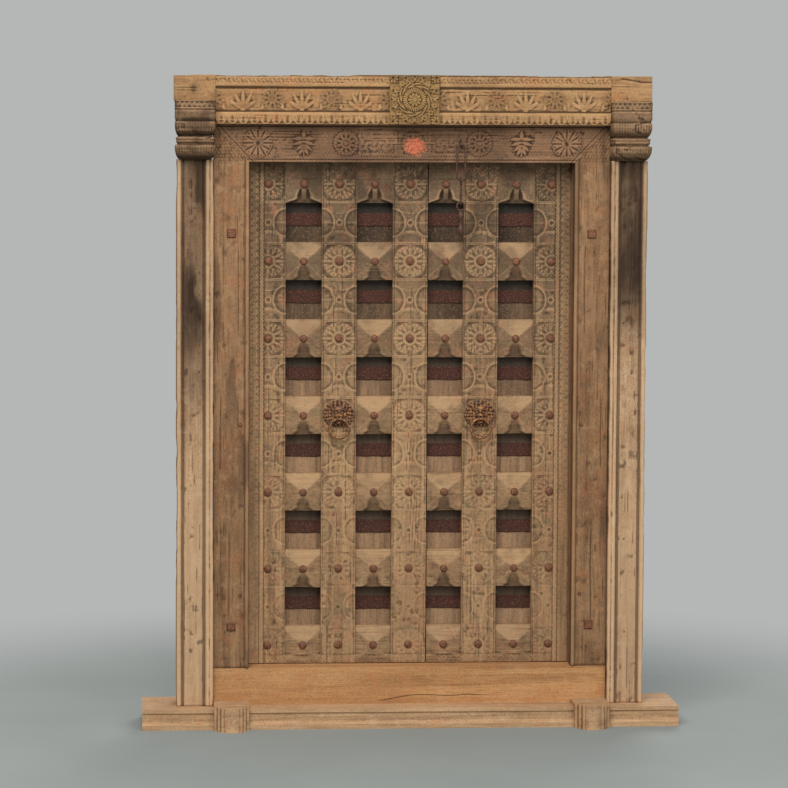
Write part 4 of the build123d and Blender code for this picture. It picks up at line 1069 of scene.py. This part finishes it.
def mask_height(x, z, r):
    height = 5.0 + 2.0 * ease(49, 30, r)
    rng = np.random.default_rng(931)

    def raised(lump, base, rise):
        return np.where(lump > 0, np.maximum(height, base + rise), height)

    for radius, count, size, lift in ((44, 23, 5.0, 6.0), (37, 19, 5.4, 8.5), (29.5, 15, 5.2, 10.5)):
        for k in range(count):
            angle = TAU * (k + 0.35 * rng.random()) / count
            far = radius + 1.6 * (rng.random() - 0.5)
            cx, cz = far * math.sin(angle), far * math.cos(angle)
            cz = CHIN * cz if cz < 0 else cz
            knob = dome(x, z, cx, cz, size, size)
            height = raised(knob, lift, 4.6 * knob - 1.8 * ridge(np.hypot(x - cx, z - cz), 1.4))
    face = dome(x, z, 0, 3, 25, 27)
    height = raised(face, 11, 9 * face)
    u = np.abs(x)
    height += 3.4 * ridge(np.hypot(u - 10, z - 12) - 8, 2.0) * (z > 12) * (face > 0)
    height += 2.8 * dome(u, z, 10, 11, 5, 4.2) - 1.8 * ridge(np.hypot(u - 10, z - 11), 1.5)
    height -= 2.6 * ridge(np.hypot((u - 10) / 1.25, z - 11) - 5, 1.2) * (face > 0)
    height += 3.6 * ridge(x, 3.6) * ease(-3, 2, z) * ease(24, 15, z)
    upper = dome(x, z, 0, 1.5, 14, 7.0)
    height = raised(upper, 19, 8 * upper)
    lower = dome(x, z, 0, -20.5, 11, 5.5)
    height = raised(lower, 14, 8 * lower)
    gape = np.abs(z + MOUTH_DROP)
    return np.where((gape < 7.2) & (u < 33), np.minimum(height, 13.0 + 6 * ease(6.2, 7.2, gape)), height)


TOOTH = ((-25.0, 0.5), (-29, -4.5), (-29.3, -13), (-21, -18.5))
for side, sign, _ in SIDES:
    centre = sign * X_MASK
    spokes, rings = 176, 58
    angles = np.linspace(0, TAU, spokes, endpoint=False)
    turn, out = np.meshgrid(angles, np.linspace(0.02, 1, rings), indexing="ij")
    r = out * (46.5 + 2.4 * np.abs(np.cos(7.5 * turn)))
    x, z = r * np.sin(turn), r * np.cos(turn)
    z = np.where(z < 0, CHIN * z, z)
    height = mask_height(x, z, r) + 0.8 * (clouds(x + 200, z + 200, 5, 905) - 0.5)
    front = np.stack([centre + x, Y_LEAF - height, Z_MASK + z], -1).reshape(-1, 3)
    index = np.arange(spokes * rings).reshape(spokes, rings)
    rim, base = index[:, -1], spokes * rings + np.arange(spokes)
    rear = front[rim].copy()
    rear[:, 1] = Y_LEAF
    walls = np.stack([rim, base, np.roll(base, -1), np.roll(rim, -1)], -1)
    quads = np.concatenate([grid_quads(spokes, rings, "r"), walls])
    parts = [(np.concatenate([front, rear]), quads, [index[::-1, 0], base[::-1]])]
    for dx in (-5.5, 5.5):
        path = [(centre + dx, Y_LEAF + dy, Z_MASK + dz) for dy, dz in TOOTH]
        parts.append(tube(path, [2.2, 1.7, 1.5, 1.9], 10))
    verts, quads, caps = joined(parts)
    cavity = hollows(height, 3, 1.2).ravel()
    fields = {"cavity": np.concatenate([cavity, np.zeros(len(verts) - len(cavity))])}
    mesh = mesh_of(f"{side}_mask_lion", verts, quads, caps, fields=fields)
    new_object(f"{side}_mask_lion", mesh, BRASS, f"{side}_leaf", f"{side}_mask")

    angles = np.linspace(0, TAU, 96, endpoint=False)
    z_ring = Z_MASK - MOUTH_DROP - RING
    path = [(centre + RING * math.sin(a), Y_MOUTH, z_ring + RING * math.cos(a)) for a in angles]
    thick = [4.4 + 0.5 * (1 - math.cos(a)) / 2 + 0.15 * math.sin(9 * a) for a in angles]
    forged(f"{side}_ring_worn", [tube(path, thick, 18, True)], BRASS, f"{side}_pull_ring", f"{side}_ring")


# Chain: staple, hasp, twisted link, and an end ring with its drop
Z_STAPLE, STAPLE_HALF, STAPLE_BAR = 1784.5, 8.5, 2.5
Z_HASP_TOP, Z_HASP_LOW, HASP_HALF = 1769.1, 1687.1, 13.0
Z_EYE_TOP, Z_EYE_LOW, EYE_RADIUS = 1671.7, 1607.7, 9.0
Z_END, END_RADIUS, LINK_BAR = 1593.8, 12.0, 2.9


def arc(cz, radius, start, end, count, plane="xz"):
    points = []
    for a in np.linspace(start, end, count):
        u, v = radius * math.sin(a), radius * math.cos(a)
        points.append((X_CHAIN + u, Y_CHAIN, cz + v) if plane == "xz" else (X_CHAIN, Y_CHAIN + u, cz + v))
    return points


y_crown = Y_CHAIN - 3 - 0.6 - STAPLE_BAR
path = [(X_CHAIN, y_crown + 5 - 5 * math.sin(a), Z_STAPLE + STAPLE_HALF * math.cos(a))
        for a in np.linspace(0.0, math.pi, 19)]
path = [(X_CHAIN, Y_JAMB, Z_STAPLE + STAPLE_HALF)] + path + [(X_CHAIN, Y_JAMB, Z_STAPLE - STAPLE_HALF)]
forged("chain_staple_bent", [tube(path, STAPLE_BAR, 12)], CHAIN, "frame", "chain_staple")

path = arc(Z_HASP_TOP, HASP_HALF, -math.pi / 2, math.pi / 2, 25)
path += arc(Z_HASP_LOW, HASP_HALF, math.pi / 2, 1.5 * math.pi, 25)
thick = [3.0 - 0.35 * abs(math.sin(k * 0.9)) for k in range(len(path))]
forged("chain_hasp_forged", [tube(path, thick, 14, True)], CHAIN, "hasp", "chain_hasp")

parts = []
for z_eye in (Z_EYE_TOP, Z_EYE_LOW):
    parts.append(tube(arc(z_eye, EYE_RADIUS, 0, TAU, 41, "yz")[:-1], LINK_BAR, 12, True))
for sign in (-1, 1):
    path = []
    for k, h in enumerate(np.linspace(Z_EYE_TOP - EYE_RADIUS, Z_EYE_LOW + EYE_RADIUS, 24)):
        turn = math.pi * k / 23
        off = sign * 2.6 * math.sin(turn) ** 0.4
        path.append((X_CHAIN + off * math.cos(turn), Y_CHAIN + off * math.sin(turn), h))
    parts.append(tube(path, 1.8, 10))
forged("chain_link_twisted", parts, CHAIN, "narrow_link", "chain_link")

# Each row of the drop: how far below the ring, and its radius
DROP = ((0, 3.5), (5, 7.5), (12, 10.0), (19, 10.4), (26, 8.0), (33, 4.6), (40, 3.9), (46, 6.0), (53, 9.4),
        (60, 10.6), (67, 9.6), (73, 6.8), (77, 4.4), (79.5, 2.0))
parts = [tube(arc(Z_END, END_RADIUS, 0, TAU, 49)[:-1], LINK_BAR, 12, True)]
path = [(X_CHAIN, Y_CHAIN, Z_END - END_RADIUS - fall) for fall, _ in DROP]
parts.append(tube(path, [r for _, r in DROP], 22))
for sign in (-1, 1):
    path = [(X_CHAIN + sign * (7.6 + 1.1 * k), Y_CHAIN, Z_END - 5 - sign) for k in range(6)]
    parts.append(tube(path, [2.6, 4.2, 4.8, 4.6, 3.8, 1.6], 14))
forged("chain_end_drop", parts, CHAIN, "end_ring", "chain_end")

# Camera, fitted to the photograph
camera = linked("camera", bpy.data.cameras.new("camera"))
bpy.context.scene.camera = camera
yaw, pitch, roll = math.radians(3.66), math.radians(3.85), math.radians(0.22)
camera.matrix_world = (
    Matrix.Translation((-0.822, -9.006, 1.762)) @ Matrix.Rotation(-yaw, 4, "Z")
    @ Matrix.Rotation(math.pi / 2 - pitch, 4, "X") @ Matrix.Rotation(roll, 4, "Z")
)
camera.data.sensor_width = 36.0
camera.data.lens = 135.24
camera.data.shift_x = 0.0793
camera.data.shift_y = -0.056
camera.data.clip_end = 60.0

# Stage: a grey floor round the part that runs out into the background's tone
BACKGROUND = rgb((181, 183, 182))
HALF_ROOM = 14.0
material, nodes = new_material("stage_floor")
place = nodes.place()
patch = nodes.span(nodes.noise(place, 2.2, 4.0), 0.3, 0.7, 0.0, 0.35)
tone = nodes.mix(patch, rgb((140, 146, 143)), rgb((128, 134, 132)))
shade = nodes.add("ShaderNodeBsdfPrincipled", Base_Color=tone, Roughness=0.9)
far = nodes.add("ShaderNodeVectorMath", {"operation": "LENGTH"}, "Value", i0=place)
seen = nodes.add("ShaderNodeLightPath", output="Is Camera Ray")
glow = nodes.add("ShaderNodeEmission", Color=BACKGROUND)
share = nodes.times(nodes.span(far, 1.0, 2.6), seen)
nodes.shown(nodes.add("ShaderNodeMixShader", i0=share, i1=shade, i2=glow))
mesh = bpy.data.meshes.new("floor")
corners = [(i * HALF_ROOM, j * HALF_ROOM, 0) for i, j in ((-1, -1), (1, -1), (1, 1), (-1, 1))]
mesh.from_pydata(corners, [], [range(4)])
mesh.materials.append(material)
linked("floor", mesh)


# Lights
def area(name, place, target, size, power, tone):
    lamp = linked(name, bpy.data.lights.new(name, "AREA"))
    lamp.data.size, lamp.data.energy, lamp.data.color = size, power, tone
    lamp.location = place
    lamp.rotation_euler = (Vector(target) - Vector(place)).to_track_quat("-Z", "Y").to_euler()


area("key", (-1.2, -3.6, 4.4), (0, 0, 1.0), 2.6, 230, (1.0, 0.97, 0.93))
area("fill", (2.2, -5.0, 2.6), (0, 0, 0.9), 3.0, 90, (0.95, 0.97, 1.0))
area("back", (1.8, 5.0, 3.6), (0, 0, 0.9), 3.0, 150, (1.0, 0.98, 0.95))
world = bpy.data.worlds.new("room")
bpy.context.scene.world = world
world.use_nodes = True
nodes = Nodes(world.node_tree)
rays = nodes.add("ShaderNodeLightPath").node.outputs
seen = nodes.plus(rays["Is Camera Ray"], rays["Is Glossy Ray"])
seen = nodes.math("ADD", seen, rays["Is Transmission Ray"], True)
room_light = nodes.add("ShaderNodeBackground", Color=(0.92, 0.96, 1.0, 1.0), Strength=0.42)
room_seen = nodes.add("ShaderNodeBackground", Color=BACKGROUND)
nodes.shown(nodes.add("ShaderNodeMixShader", i0=seen, i1=room_light, i2=room_seen), "World")
bpy.context.scene.view_settings.view_transform = "Standard"
